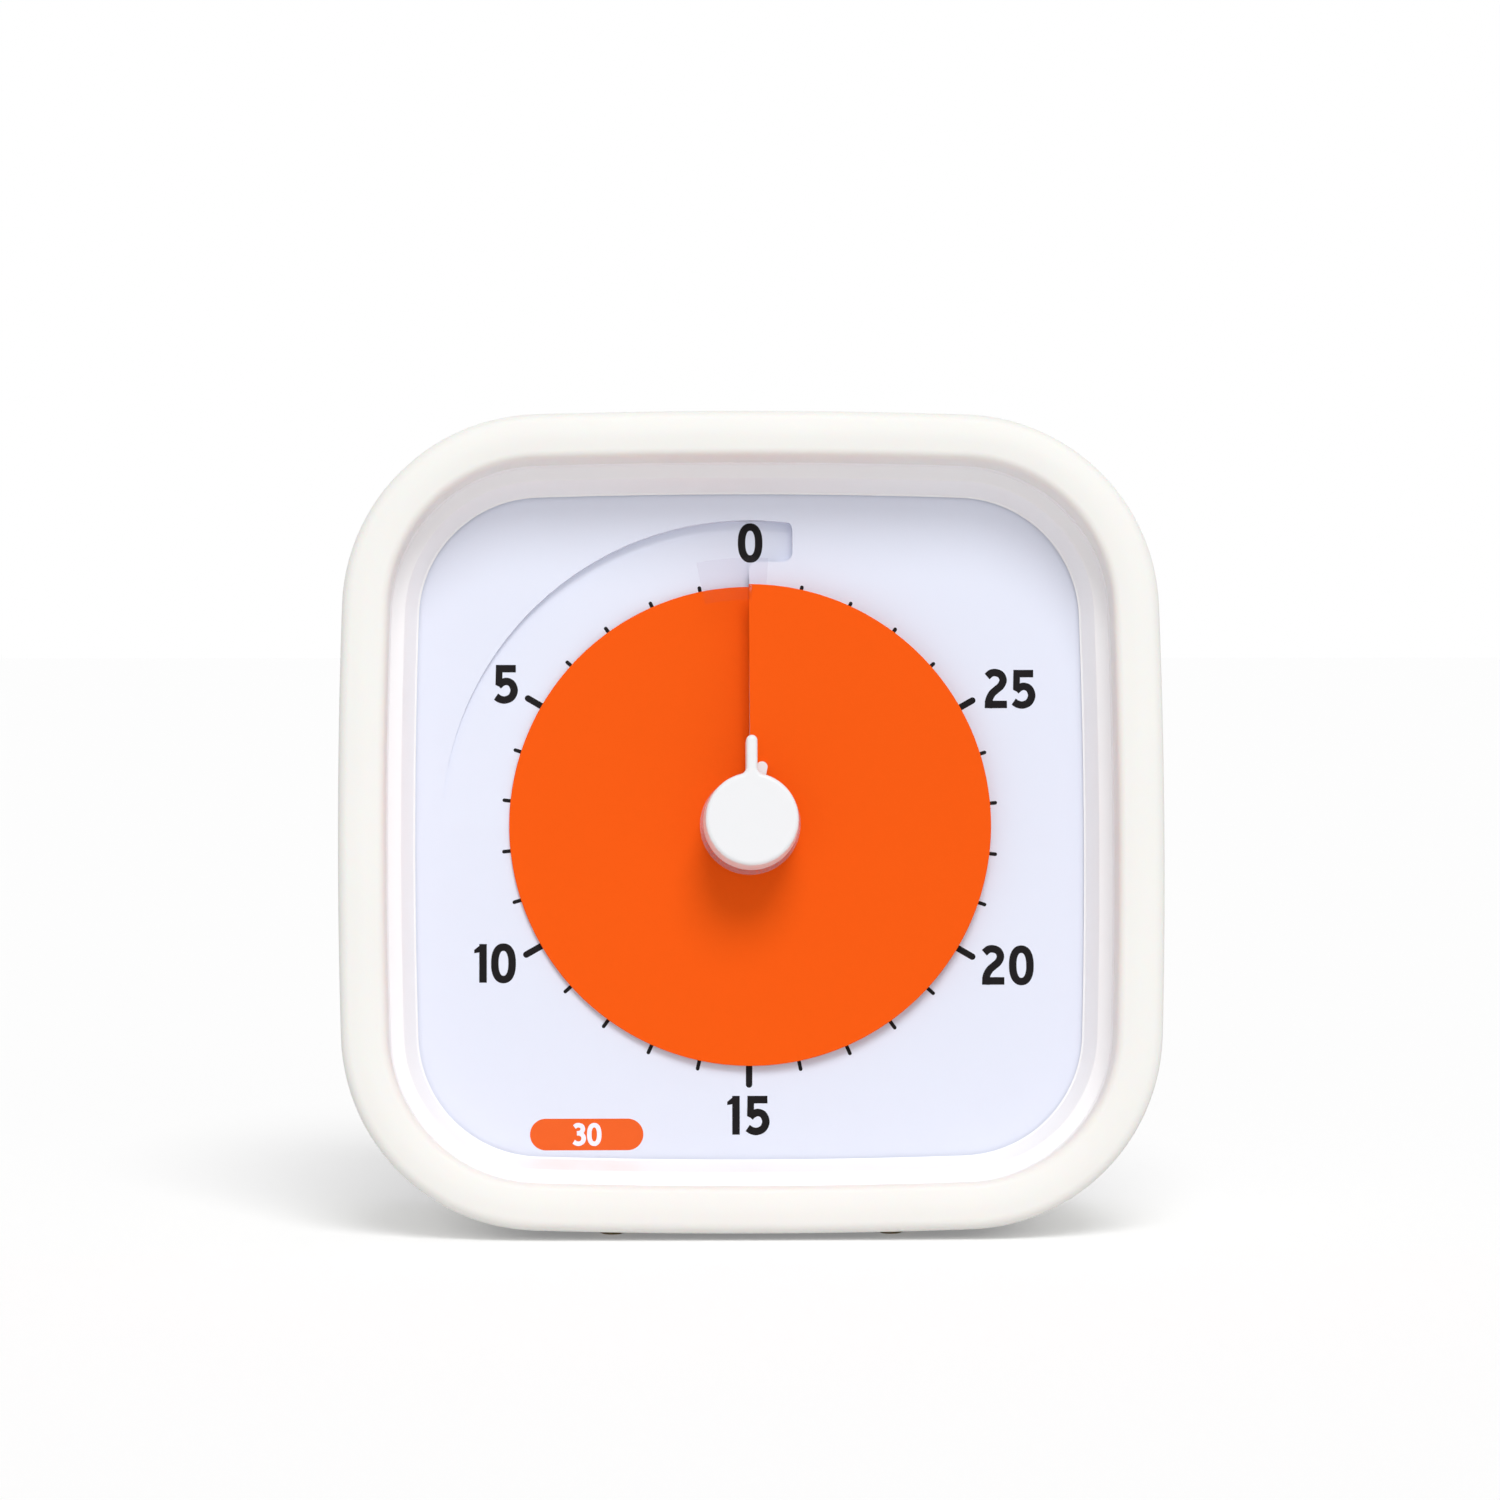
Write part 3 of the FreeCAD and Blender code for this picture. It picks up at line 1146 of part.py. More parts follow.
def build_screws():
    """Case, movement and board screws, each kind one group."""
    case = [screw(SCREW_SHAFT, SCREW_HEAD, SCREW_HEAD_HEIGHT, SCREW_BITE + TUBE_FLOOR, case_seat_s(), x, y)
            for x, y in four(POST_X, POST_Y)]
    shapes["case_screws"] = Part.makeCompound(case)
    seat = ear_front_s() - EAR_THICKNESS
    small = [screw(SMALL_SHAFT, SMALL_HEAD, SMALL_HEAD_HEIGHT, SMALL_BITE + EAR_THICKNESS - 0.2, seat, x, y)
             for x, y in four(EAR_X, EAR_Y)]
    shapes["movement_screws"] = Part.makeCompound(small)
    board = [screw(SMALL_SHAFT, SMALL_HEAD, SMALL_HEAD_HEIGHT, SMALL_BITE + BOARD_THICKNESS - 0.2, BOARD_S, x,
                   BOARD_POST_Y, 1) for x in (-BOARD_POST_X, BOARD_POST_X)]
    shapes["board_screws"] = Part.makeCompound(board)


def foot_places():
    """Places of the four dome feet: across the case and along it."""
    return [(x, s) for s in (FOOT_FRONT_S, FOOT_REAR_S) for x in (-FOOT_X, FOOT_X)]


def under_y(x, s):
    """Height of the sleeve's underside at a place, on its slightly bowed face."""
    half = HALF_HEIGHT - (WIDEST_S - s) * TAPER
    bow = SIDE_BOW_RADIUS - (WIDEST_S - s) * TAPER
    return -(half - bow + math.sqrt(bow ** 2 - x ** 2))


def down():
    """Direction straight down from the leant-back underside."""
    lean = math.radians(LEAN_DEG)
    return Vec(0, -math.cos(lean), -math.sin(lean))


def foot_pocket(x, s):
    """Shallow round pocket in the sleeve for one foot."""
    top = Vec(x, under_y(x, s), s) - down() * FOOT_PAD
    return Part.makeCylinder(FOOT_BASE + SKIN_GAP, 3.0, top, down())


def build_feet():
    """Four domes, each a slice of a ball on a short round pad, with a small flat to stand on."""
    rise = math.sqrt(FOOT_DOME ** 2 - FOOT_BASE ** 2)
    height = math.sqrt(FOOT_DOME ** 2 - FOOT_FLAT ** 2) - rise
    feet = []
    for x, s in foot_places():
        face = Vec(x, under_y(x, s), s)
        pad = Part.makeCylinder(FOOT_BASE, FOOT_PAD, face - down() * FOOT_PAD, down())
        ball = Part.makeSphere(FOOT_DOME, face - down() * rise)
        dome = ball.common(Part.makeCylinder(FOOT_BASE, height, face, down()))
        feet.append(pad.fuse(dome))
    return Part.makeCompound(feet)


def build_wires():
    """Lead wires from the battery contacts to the board, run up the inside of the bay's walls."""
    wires = []
    for side in (-1, 1):
        wires.append(lead(side))
    return Part.makeCompound(wires)


def lead(side):
    """One lead: straight up from the bay's end, then across onto the back of the board."""
    x = side * (bay_half_x() + BAY_WALL + WIRE_STAND_OFF)
    s = BOARD_S - BOARD_THICKNESS - WIRE_RADIUS
    low = Vec(x, CELL_Y, s)
    turn = Vec(x, BOARD_Y0 + 6.0, s)
    end = Vec(side * (BOARD_HALF_X - 2.5), BOARD_Y0 + 6.0 + 3.0, s)
    tap = Part.makeCylinder(WIRE_RADIUS, WIRE_STAND_OFF, low, Vec(-side, 0, 0))
    first = Part.makeCylinder(WIRE_RADIUS, (turn - low).Length, low, turn - low)
    second = Part.makeCylinder(WIRE_RADIUS, (end - turn).Length, turn, end - turn)
    return fuse(first, second, Part.makeSphere(WIRE_RADIUS, turn), Part.makeSphere(WIRE_RADIUS, low), tap)


def stand_up(shape):
    """Turns a shape from the dial's frame to the timer's own: up to +Z, leant back, front to -Y."""
    shape.rotate(Vec(0, 0, 0), Vec(1, 0, 0), 90 - LEAN_DEG)
    return shape


def build_all():
    """Every piece by name, in the dial's frame."""
    shapes["silicone_sleeve"] = build_sleeve()
    shapes["front_housing"] = build_front_housing()
    shapes["rear_housing"] = build_rear_housing()
    shapes["dial_plate"] = build_dial()
    shapes["time_disc"] = build_disc()
    shapes["leading_edge_tab"] = build_tab()
    shapes["disc_hub"] = build_hub()
    shapes["hub_washer"] = build_washer()
    shapes["knob"] = build_knob()
    shapes["knob_spindle"] = build_spindle()
    build_train()
    build_motor()
    shapes["movement_case"] = build_movement_case()
    shapes["movement_cover"] = build_movement_cover()
    build_spindle_parts()
    shapes["zero_switch"] = build_zero_switch()
    shapes["battery_door"] = build_battery_door()
    shapes["battery_cell"] = build_battery()
    build_contacts()
    build_board()
    shapes["volume_slider"] = build_slider()
    shapes["buzzer"] = build_buzzer()
    build_screws()
    shapes["dome_feet"] = build_feet()
    shapes["lead_wires"] = build_wires()


def main():
    """Builds, stands up and writes every piece."""
    build_all()
    for shape in shapes.values():
        stand_up(shape)
    outside = ("silicone_sleeve", "rear_housing", "volume_slider", "dome_feet")
    whole = Part.makeCompound([shapes[name] for name in outside])
    bounds = whole.optimalBoundingBox(False, False)
    middle_y = (bounds.YMin + bounds.YMax) / 2
    os.makedirs("parts", exist_ok=True)
    for name, shape in shapes.items():
        shape.translate(Vec(0, -middle_y, -bounds.ZMin))
        shape.exportStep("parts/" + name + ".step")
    print("dial centre in the timer's frame: y", round(-middle_y, 4), "z", round(-bounds.ZMin, 4))
    print("size", round(bounds.XLength, 3), round(bounds.YLength, 3), round(bounds.ZLength, 3))


main()
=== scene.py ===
"""Looks of a square visual countdown timer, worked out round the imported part.

Shapes are worked out in millimetres in the dial's own space: x to the right, y up the dial, s out of the
dial towards the viewer. DialSpace.place takes them to the row frame, leant back as the part stands.
Angles round the dial run counter-clockwise from 12 o'clock, as its numbers do.
"""

import json
import logging
import math
from dataclasses import dataclass
from enum import Enum

import bmesh
import bpy
import numpy as np
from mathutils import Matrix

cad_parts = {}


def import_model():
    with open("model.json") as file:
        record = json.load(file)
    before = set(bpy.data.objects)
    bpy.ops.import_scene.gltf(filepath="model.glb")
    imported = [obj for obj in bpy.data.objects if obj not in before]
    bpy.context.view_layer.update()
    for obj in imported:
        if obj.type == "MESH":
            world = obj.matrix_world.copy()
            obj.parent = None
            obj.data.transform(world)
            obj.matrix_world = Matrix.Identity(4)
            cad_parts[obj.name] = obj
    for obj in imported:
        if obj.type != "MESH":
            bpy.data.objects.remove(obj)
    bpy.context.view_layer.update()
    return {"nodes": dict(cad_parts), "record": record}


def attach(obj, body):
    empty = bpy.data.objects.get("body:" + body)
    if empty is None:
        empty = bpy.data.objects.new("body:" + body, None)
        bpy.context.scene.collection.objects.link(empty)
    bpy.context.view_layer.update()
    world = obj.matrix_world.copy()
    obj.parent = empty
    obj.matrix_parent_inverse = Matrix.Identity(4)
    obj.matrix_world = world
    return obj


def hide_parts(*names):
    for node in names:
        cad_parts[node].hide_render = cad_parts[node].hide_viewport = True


LOG = logging.getLogger("timer")
Array = np.ndarray
MM = 0.001
CLOUDS_PER_M = 55.0  # the colour wanders in patches of about 18 mm
ROUGHNESS_SPREAD = 0.06
GLOW_DEPTH_MM = 1.0
TURNED_STRETCH = (1.0, 1.0, 0.12)  # draws the relief out upwards into fine scratches
BAND_SPREAD = 6.28  # widens the bands of a wound surface to about two grains


# ---------------------------------------------------------------- colours, nodes and finishes


def linear(colour: str) -> tuple[float, float, float, float]:
    """Turns an sRGB hex colour to the linear RGBA that shader sockets take.

    Args:
        colour: Six hex digits after a hash sign.

    Returns:
        Linear red, green and blue with an alpha of one.
    """
    srgb = np.array([int(colour[i : i + 2], 16) for i in (1, 3, 5)]) / 255
    value = np.where(srgb <= 0.04045, srgb / 12.92, ((srgb + 0.055) / 1.055) ** 2.4)
    return (float(value[0]), float(value[1]), float(value[2]), 1.0)


def add_node(tree: bpy.types.NodeTree, kind: str, inputs: dict | None = None, **settings) -> bpy.types.Node:
    """Adds a node with its settings, its constant inputs and its links.

    Args:
        tree: Node tree that gets the node.
        kind: Type name of the node.
        inputs: Socket name or index to a constant, or to the output socket that is linked to it.
        settings: Attributes of the node, such as operation.

    Returns:
        The new node.
    """
    node = tree.nodes.new(kind)
    for key, value in settings.items():
        setattr(node, key, value)
    for key, value in (inputs or {}).items():
        if isinstance(value, bpy.types.NodeSocket):
            tree.links.new(value, node.inputs[key])
        else:
            node.inputs[key].default_value = value
    return node


class Grain(Enum):
    """How a surface was made, which sets the pattern of its fine relief."""

    MOULDED = "an even fine relief from a spark-eroded mould"
    PRESSED = "a long shallow waviness, as on film and sheet"
    TURNED = "fine scratches that run one way, as turning and rolling leave them"
    WOUND = "turns of wire lying side by side"


@dataclass(frozen=True)
class Finish:
    """A real material and how its surface was made.

    A moulded grain is really about 0.05 mm across, too fine for the render, so it is drawn at 0.15 to 0.4 mm.

    Attributes:
        name: Name of the material.
        colour: sRGB hex colour of its body.
        roughness: Middle of the range that its roughness wanders in.
        grain: How the surface was made.
        grain_mm: Width of one cell of the relief.
        depth_mm: Depth of the relief.
        mottle: Share by which the colour wanders.
        metallic: One for a metal.
        glow_through: Share of the light that is carried under the skin.
        coat: Weight of a clear coat.
        shine: Strength of the mirror part, 0.5 for plain plastic.
        clear: Share of the light that goes straight through.
        tint: Colour that this light takes on.
    """

    name: str
    colour: str
    roughness: float
    grain: Grain = Grain.MOULDED
    grain_mm: float = 0.4
    depth_mm: float = 0.004
    mottle: float = 0.02
    metallic: float = 0.0
    glow_through: float = 0.0
    coat: float = 0.0
    shine: float = 0.5
    clear: float = 0.0
    tint: str = "#FFFFFF"

    def pattern(self, tree: bpy.types.NodeTree) -> bpy.types.NodeSocket:
        """Relief from 0 to 1 on Object coordinates: cells are grain_mm across, wound turns about twice that.

        Args:
            tree: The material's node tree.

        Returns:
            The socket that gives the relief.
        """
        place = add_node(tree, "ShaderNodeTexCoord").outputs["Object"]
        scale = 1.0 / (self.grain_mm * MM)
        if self.grain is Grain.WOUND:
            turns = {"Vector": place, "Scale": scale / BAND_SPREAD, "Distortion": 0.4}
            return add_node(tree, "ShaderNodeTexWave", turns).outputs["Fac"]
        stretch = TURNED_STRETCH if self.grain is Grain.TURNED else (1.0, 1.0, 1.0)
        moved = add_node(tree, "ShaderNodeMapping", {"Vector": place, "Scale": stretch}).outputs["Vector"]
        detail = 1.0 if self.grain is Grain.PRESSED else 4.0
        noise = add_node(tree, "ShaderNodeTexNoise", {"Vector": moved, "Scale": scale, "Detail": detail})
        return noise.outputs["Fac"]

    def build(self) -> bpy.types.Material:
        """Makes the material: a faintly mottled colour, and a relief that sets its roughness and its bump.

        Returns:
            The new material.
        """
        made = bpy.data.materials.new(self.name)
        made.use_nodes = True
        tree = made.node_tree
        tree.nodes.clear()
        relief = self.pattern(tree)
        place = add_node(tree, "ShaderNodeTexCoord").outputs["Object"]
        cloud = add_node(tree, "ShaderNodeTexNoise", {"Vector": place, "Scale": CLOUDS_PER_M, "Detail": 3.0})
        base = np.array(linear(self.colour))
        dark = tuple(base[:3] * (1 - self.mottle)) + (1.0,)
        light = tuple(np.minimum(base[:3] * (1 + self.mottle), 1.0)) + (1.0,)
        shades = {"Factor": cloud.outputs["Fac"], "A": dark, "B": light}
        colour = add_node(tree, "ShaderNodeMix", shades, data_type="RGBA").outputs["Result"]
        low, high = self.roughness - ROUGHNESS_SPREAD, self.roughness + ROUGHNESS_SPREAD
        rough = add_node(tree, "ShaderNodeMapRange", {"Value": relief, "To Min": low, "To Max": high})
        bump = add_node(
            tree, "ShaderNodeBump", {"Height": relief, "Strength": 1.0, "Distance": self.depth_mm * MM}
        ).outputs["Normal"]
        skin = add_node(
            tree,
            "ShaderNodeBsdfPrincipled",
            {
                "Base Color": colour,
                "Roughness": rough.outputs["Result"],
                "Normal": bump,
                "Metallic": self.metallic,
                "Specular IOR Level": self.shine,
                "Coat Weight": self.coat,
                "Subsurface Weight": self.glow_through,
                "Subsurface Scale": GLOW_DEPTH_MM * MM,
            },
        ).outputs["BSDF"]
        if self.clear > 0.0:
            through = add_node(tree, "ShaderNodeBsdfTransparent", {"Color": linear(self.tint)}).outputs["BSDF"]
            skin = add_node(tree, "ShaderNodeMixShader", {0: self.clear, 1: skin, 2: through}).outputs["Shader"]
        add_node(tree, "ShaderNodeOutputMaterial", {"Surface": skin})
        return made


# Silicone rubber, moulded in a matt tool: soft highlight, a little light carried under the skin.
SILICONE = Finish("white_silicone_rubber", "#F2F1ED", 0.55, grain_mm=0.35, depth_mm=0.003, glow_through=0.12)
# ABS, satin moulded: neutral white with a broad soft highlight.
ABS = Finish("white_satin_abs", "#FAF9FB", 0.38, grain_mm=0.3, depth_mm=0.002)
# Dial in printed polystyrene: faintly blue white, nearly matt.
DIAL = Finish("dial_white_polystyrene", "#E3E7F6", 0.5, grain_mm=0.25, depth_mm=0.0015, mottle=0.006)
# Polypropylene film, extruded: strong orange, thin enough for print under its edge to show faintly.
FILM = Finish(
    "orange_polypropylene_film", "#FF6013", 0.5, grain=Grain.PRESSED, grain_mm=3.0, depth_mm=0.004,
    mottle=0.015, shine=0.03, clear=0.1, tint="#FF7A28",
)
# Polyester film: clear and slightly hazy, nearly lost over the orange.
CLEAR_FILM = Finish(
    "clear_polyester_film", "#8C888E", 0.22, grain=Grain.PRESSED, grain_mm=2.0, shine=0.1, clear=0.985, tint="#FDFCFD"
)
# Moulded clear acetal: the film's colour shows through it, and its faint pink is painted light, the orange glow the
# film throws on it.
CLEAR_ACETAL = Finish(
    "clear_moulded_acetal", "#F0E2EA", 0.25, grain=Grain.PRESSED, grain_mm=2.0, shine=0.3, clear=0.84, tint="#FBF4F2"
)
# ABS of the knob, moulded with a finer grain than the case: a slightly tighter highlight.
KNOB_ABS = Finish("white_knob_abs", "#EEEFF1", 0.36, grain_mm=0.22, depth_mm=0.002, mottle=0.008)
# Screen-printed ink: dense and slightly glossy.
BLACK_INK = Finish("black_screen_ink", "#171416", 0.5, grain_mm=0.15, depth_mm=0.001, mottle=0.04, shine=0.1)
ORANGE_INK = Finish("orange_screen_ink", "#EF6326", 0.5, grain_mm=0.15, depth_mm=0.001, mottle=0.01, shine=0.1)
WHITE_INK = Finish("white_screen_ink", "#EFEFFA", 0.45, grain_mm=0.15, depth_mm=0.001, mottle=0.01)

# One finish for each material slot of the record. Steel, brass, nickel and the plated screws are bright metal with
# fine scratches, the gears and black mouldings a plain satin, the winding shows its turns, and the cell's jacket,
# the board's lacquer and the wires' sleeves are smooth and glossy.
FINISHES: dict[str, Finish] = {
    "white_silicone": SILICONE,
    "white_abs": ABS,
    "dial_white": DIAL,
    "orange_film": FILM,
    "clear_film": CLEAR_FILM,
    "clear_acetal": CLEAR_ACETAL,
    "knob_white": KNOB_ABS,
    "steel": Finish("turned_steel", "#B9BABD", 0.3, grain=Grain.TURNED, grain_mm=0.12, metallic=1.0),
    "gear_acetal": Finish("moulded_gear_acetal", "#EDEBE2", 0.4, grain_mm=0.3),
    "spring_brass": Finish("stamped_brass", "#D3B36C", 0.3, grain=Grain.TURNED, grain_mm=0.2, metallic=1.0),
    "movement_abs": Finish("black_moulded_abs", "#26262A", 0.5, grain_mm=0.4, depth_mm=0.008),
    "copper": Finish("enamelled_copper_wire", "#C0703A", 0.3, grain=Grain.WOUND, grain_mm=0.12, metallic=1.0),
    "switch_black": Finish("black_moulded_nylon", "#202022", 0.5, grain_mm=0.3),
    "cell_jacket": Finish("grey_cell_jacket", "#4A4D52", 0.32, grain=Grain.PRESSED, grain_mm=6.0, coat=0.3),
    "nickel": Finish("nickel_plate", "#CFCDC6", 0.2, grain=Grain.TURNED, grain_mm=0.2, metallic=1.0),
    "board_green": Finish("green_solder_mask", "#1E6B3C", 0.35, grain=Grain.PRESSED, grain_mm=1.5),
    "zinc_screw": Finish("zinc_plated_steel", "#B4B6B8", 0.34, grain=Grain.TURNED, grain_mm=0.15, metallic=1.0),
    "tan_foot": Finish("tan_polyurethane", "#F0DCB4", 0.5, grain_mm=0.3, depth_mm=0.003, glow_through=0.2),
    "wire_red": Finish("red_pvc_sleeve", "#B8261F", 0.4, grain=Grain.PRESSED, grain_mm=1.0),
}


# ---------------------------------------------------------------- shape tools


@dataclass(frozen=True)
class DialSpace:
    """The dial's own space and where it stands in the row frame."""

    origin_m: tuple[float, float, float]
    lean_deg: float = 7.0

    def place(self, x: Array, y: Array, s: Array) -> Array:
        """Turns dial coordinates to the row frame: a turn about X by the lean, then a shift to the origin.

        Args:
            x: Millimetres to the right.
            y: Millimetres up the dial.
            s: Millimetres out of the dial.

        Returns:
            Points in metres, with one more axis than x.
        """
        lean = math.radians(self.lean_deg)
        x, y, s = np.broadcast_arrays(x, y, s)
        across = y * math.sin(lean) - s * math.cos(lean)
        up = y * math.cos(lean) + s * math.sin(lean)
        return np.stack([x, across, up], axis=-1) * MM + np.array(self.origin_m)


@dataclass(frozen=True)
class SquareOutline:
    """The case's outline: four sides that bow out as long arcs, joined by four corner arcs."""

    half_width: float = 44.5
    half_height: float = 44.4
    corner_radius: float = 21.4
    bow_radius: float = 722.0
    side_steps: int = 14
    corner_steps: int = 26

    def quarter(self, u: Array) -> tuple[Array, Array]:
        """First quarter of the outline for each half-width u.

        The corner's centre lies on both circles of radius bow - r about the sides' centres, and is found by
        putting each side's condition into the other in turn.

        Args:
            u: Half-widths, one per row.

        Returns:
            x and y with one row per half-width, from 3 o'clock to 12 o'clock.
        """
        inset = (self.half_width - u)[:, None]
        half_x, half_y = u[:, None], self.half_height - inset
        radius, bow = self.corner_radius - inset, self.bow_radius - inset
        reach = bow - radius
        cx, cy = half_x - radius, half_y - radius
        for _ in range(20):
            cx = np.sqrt(reach**2 - cy**2) - (bow - half_x)
            cy = np.sqrt(reach**2 - cx**2) - (bow - half_y)
        low = np.arctan2(cy, cx + bow - half_x)
        high = math.pi / 2 - np.arctan2(cx, cy + bow - half_y)
        side = np.linspace(0.0, 1.0, self.side_steps, endpoint=False)[None, :]
        corner = np.linspace(0.0, 1.0, self.corner_steps, endpoint=False)[None, :]
        top = np.linspace(0.0, 1.0, self.side_steps + 1)[None, :]
        right_turn = low * side
        corner_turn = low + (high - low) * corner
        top_turn = high + (math.pi / 2 - high) * top
        x = [half_x - bow + bow * np.cos(right_turn), cx + radius * np.cos(corner_turn), bow * np.cos(top_turn)]
        y = [bow * np.sin(right_turn), cy + radius * np.sin(corner_turn), half_y - bow + bow * np.sin(top_turn)]
        return np.concatenate(x, axis=1), np.concatenate(y, axis=1)

    def loop(self, u: Array) -> tuple[Array, Array]:
        """Whole outline for each half-width: the first quarter and its three mirrored ones.

        Args:
            u: Half-widths, one per row.

        Returns:
            x and y, counter-clockwise, without a repeated last point.
        """
        x, y = self.quarter(u)
        back_x, back_y = x[:, ::-1], y[:, ::-1]
        loop_x = [x[:, :-1], -back_x[:, :-1], -x[:, :-1], back_x[:, :-1]]
        loop_y = [y[:, :-1], back_y[:, :-1], -y[:, :-1], -back_y[:, :-1]]
        return np.concatenate(loop_x, axis=1), np.concatenate(loop_y, axis=1)


def rounded_profile(corners: list[tuple[float, ...]], steps: int = 8) -> Array:
    """Closed section whose corners are rounded by arcs tangent to both sides, each kept within its sides.

    Args:
        corners: (u, s) or (u, s, radius) for each corner.
        steps: Segments in each arc.

    Returns:
        Points of the section, shape (n, 2).
    """
    points = np.array([corner[:2] for corner in corners])
    radii = np.array([corner[2] if len(corner) > 2 else 0.0 for corner in corners])
    ahead = np.roll(points, -1, axis=0) - points
    sides = np.linalg.norm(ahead, axis=1)
    ahead = ahead / sides[:, None]
    back = -np.roll(ahead, 1, axis=0)
    half = np.arccos(np.clip((ahead * back).sum(axis=1), -1, 1)) / 2
    reach = radii / np.tan(half)
    share = np.minimum(1.0, sides / np.maximum(reach + np.roll(reach, -1), 1e-9))
    reach = reach * np.minimum(share, np.roll(share, 1))
    section = []
    for i, point in enumerate(points):
        if reach[i] <= 0.0:
            section.append(point[None, :])
            continue
        radius = reach[i] * math.tan(half[i])
        inward = ahead[i] + back[i]
        inward = inward / np.linalg.norm(inward)
        centre = point + inward * radius / math.sin(half[i])
        start = point + back[i] * reach[i] - centre
        end = point + ahead[i] * reach[i] - centre
        turn = np.arctan2(start[0] * end[1] - start[1] * end[0], start @ end)
        angle = np.arctan2(start[1], start[0]) + turn * np.linspace(0, 1, steps + 1)
        section.append(centre + radius * np.stack([np.cos(angle), np.sin(angle)], axis=1))
    return np.concatenate(section)


class MeshBuilder:
    """Gathers surfaces given as grids of points and makes one mesh object of them."""

    def __init__(self) -> None:
        """Starts with no points and no faces."""
        self.points: list[Array] = []
        self.faces: list[list[int]] = []
        self.count = 0

    def grid(self, points: Array, close_rows: bool = False, close_columns: bool = False, caps: bool = False) -> None:
        """Adds a grid: the faces join each point to the next in its row and in its column.

        Args:
            points: Points in the row frame, shape (rows, columns, 3).
            close_rows: Joins the last row to the first.
            close_columns: Joins the last column to the first.
            caps: Closes the first and last row with one face each.
        """
        rows, columns = points.shape[:2]
        index = np.arange(rows * columns).reshape(rows, columns) + self.count
        if close_columns:
            index = np.concatenate([index, index[:, :1]], axis=1)
        if close_rows:
            index = np.concatenate([index, index[:1]], axis=0)
        quads = np.stack([index[:-1, :-1], index[:-1, 1:], index[1:, 1:], index[1:, :-1]], axis=-1)
        self.faces += quads.reshape(-1, 4).tolist()
        if caps:
            self.faces.append(index[0, :columns][::-1].tolist())
            self.faces.append(index[rows - 1, :columns].tolist())
        self.points.append(points.reshape(-1, 3))
        self.count += rows * columns

    def finish(self, name: str, finish: Finish, crease_deg: float = 35.0) -> bpy.types.Object:
        """Makes the mesh object, smooth but for its sharp edges, with its faces pointing outwards.

        Args:
            name: Name of the piece.
            finish: Its material.
            crease_deg: Edges that turn by more than this are sharp.

        Returns:
            The new object, at the origin.
        """
        mesh = bpy.data.meshes.new(name)
        mesh.from_pydata(np.concatenate(self.points).tolist(), [], self.faces)
        work = bmesh.new()
        work.from_mesh(mesh)
        bmesh.ops.recalc_face_normals(work, faces=work.faces)
        work.to_mesh(mesh)
        work.free()
        mesh.shade_smooth()
        mesh.set_sharp_from_angle(angle=math.radians(crease_deg))
        mesh.materials.append(finish.build())
        piece = bpy.data.objects.new(name, mesh)
        bpy.context.collection.objects.link(piece)
        LOG.info("%s: %d points, %d faces", name, len(mesh.vertices), len(mesh.polygons))
        return piece


def settle(piece: bpy.types.Object, body: str, slot: str, *replaced: str) -> None:
    """Puts a piece on its body and hides the CAD nodes that it stands for.

    Args:
        piece: The finished piece.
        body: CAD body that it moves with.
        slot: Material slot of the record; not used.
        replaced: CAD nodes that it replaces.
    """
    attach(piece, body)
    if replaced:
        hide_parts(*replaced)


# ---------------------------------------------------------------- sub-assemblies


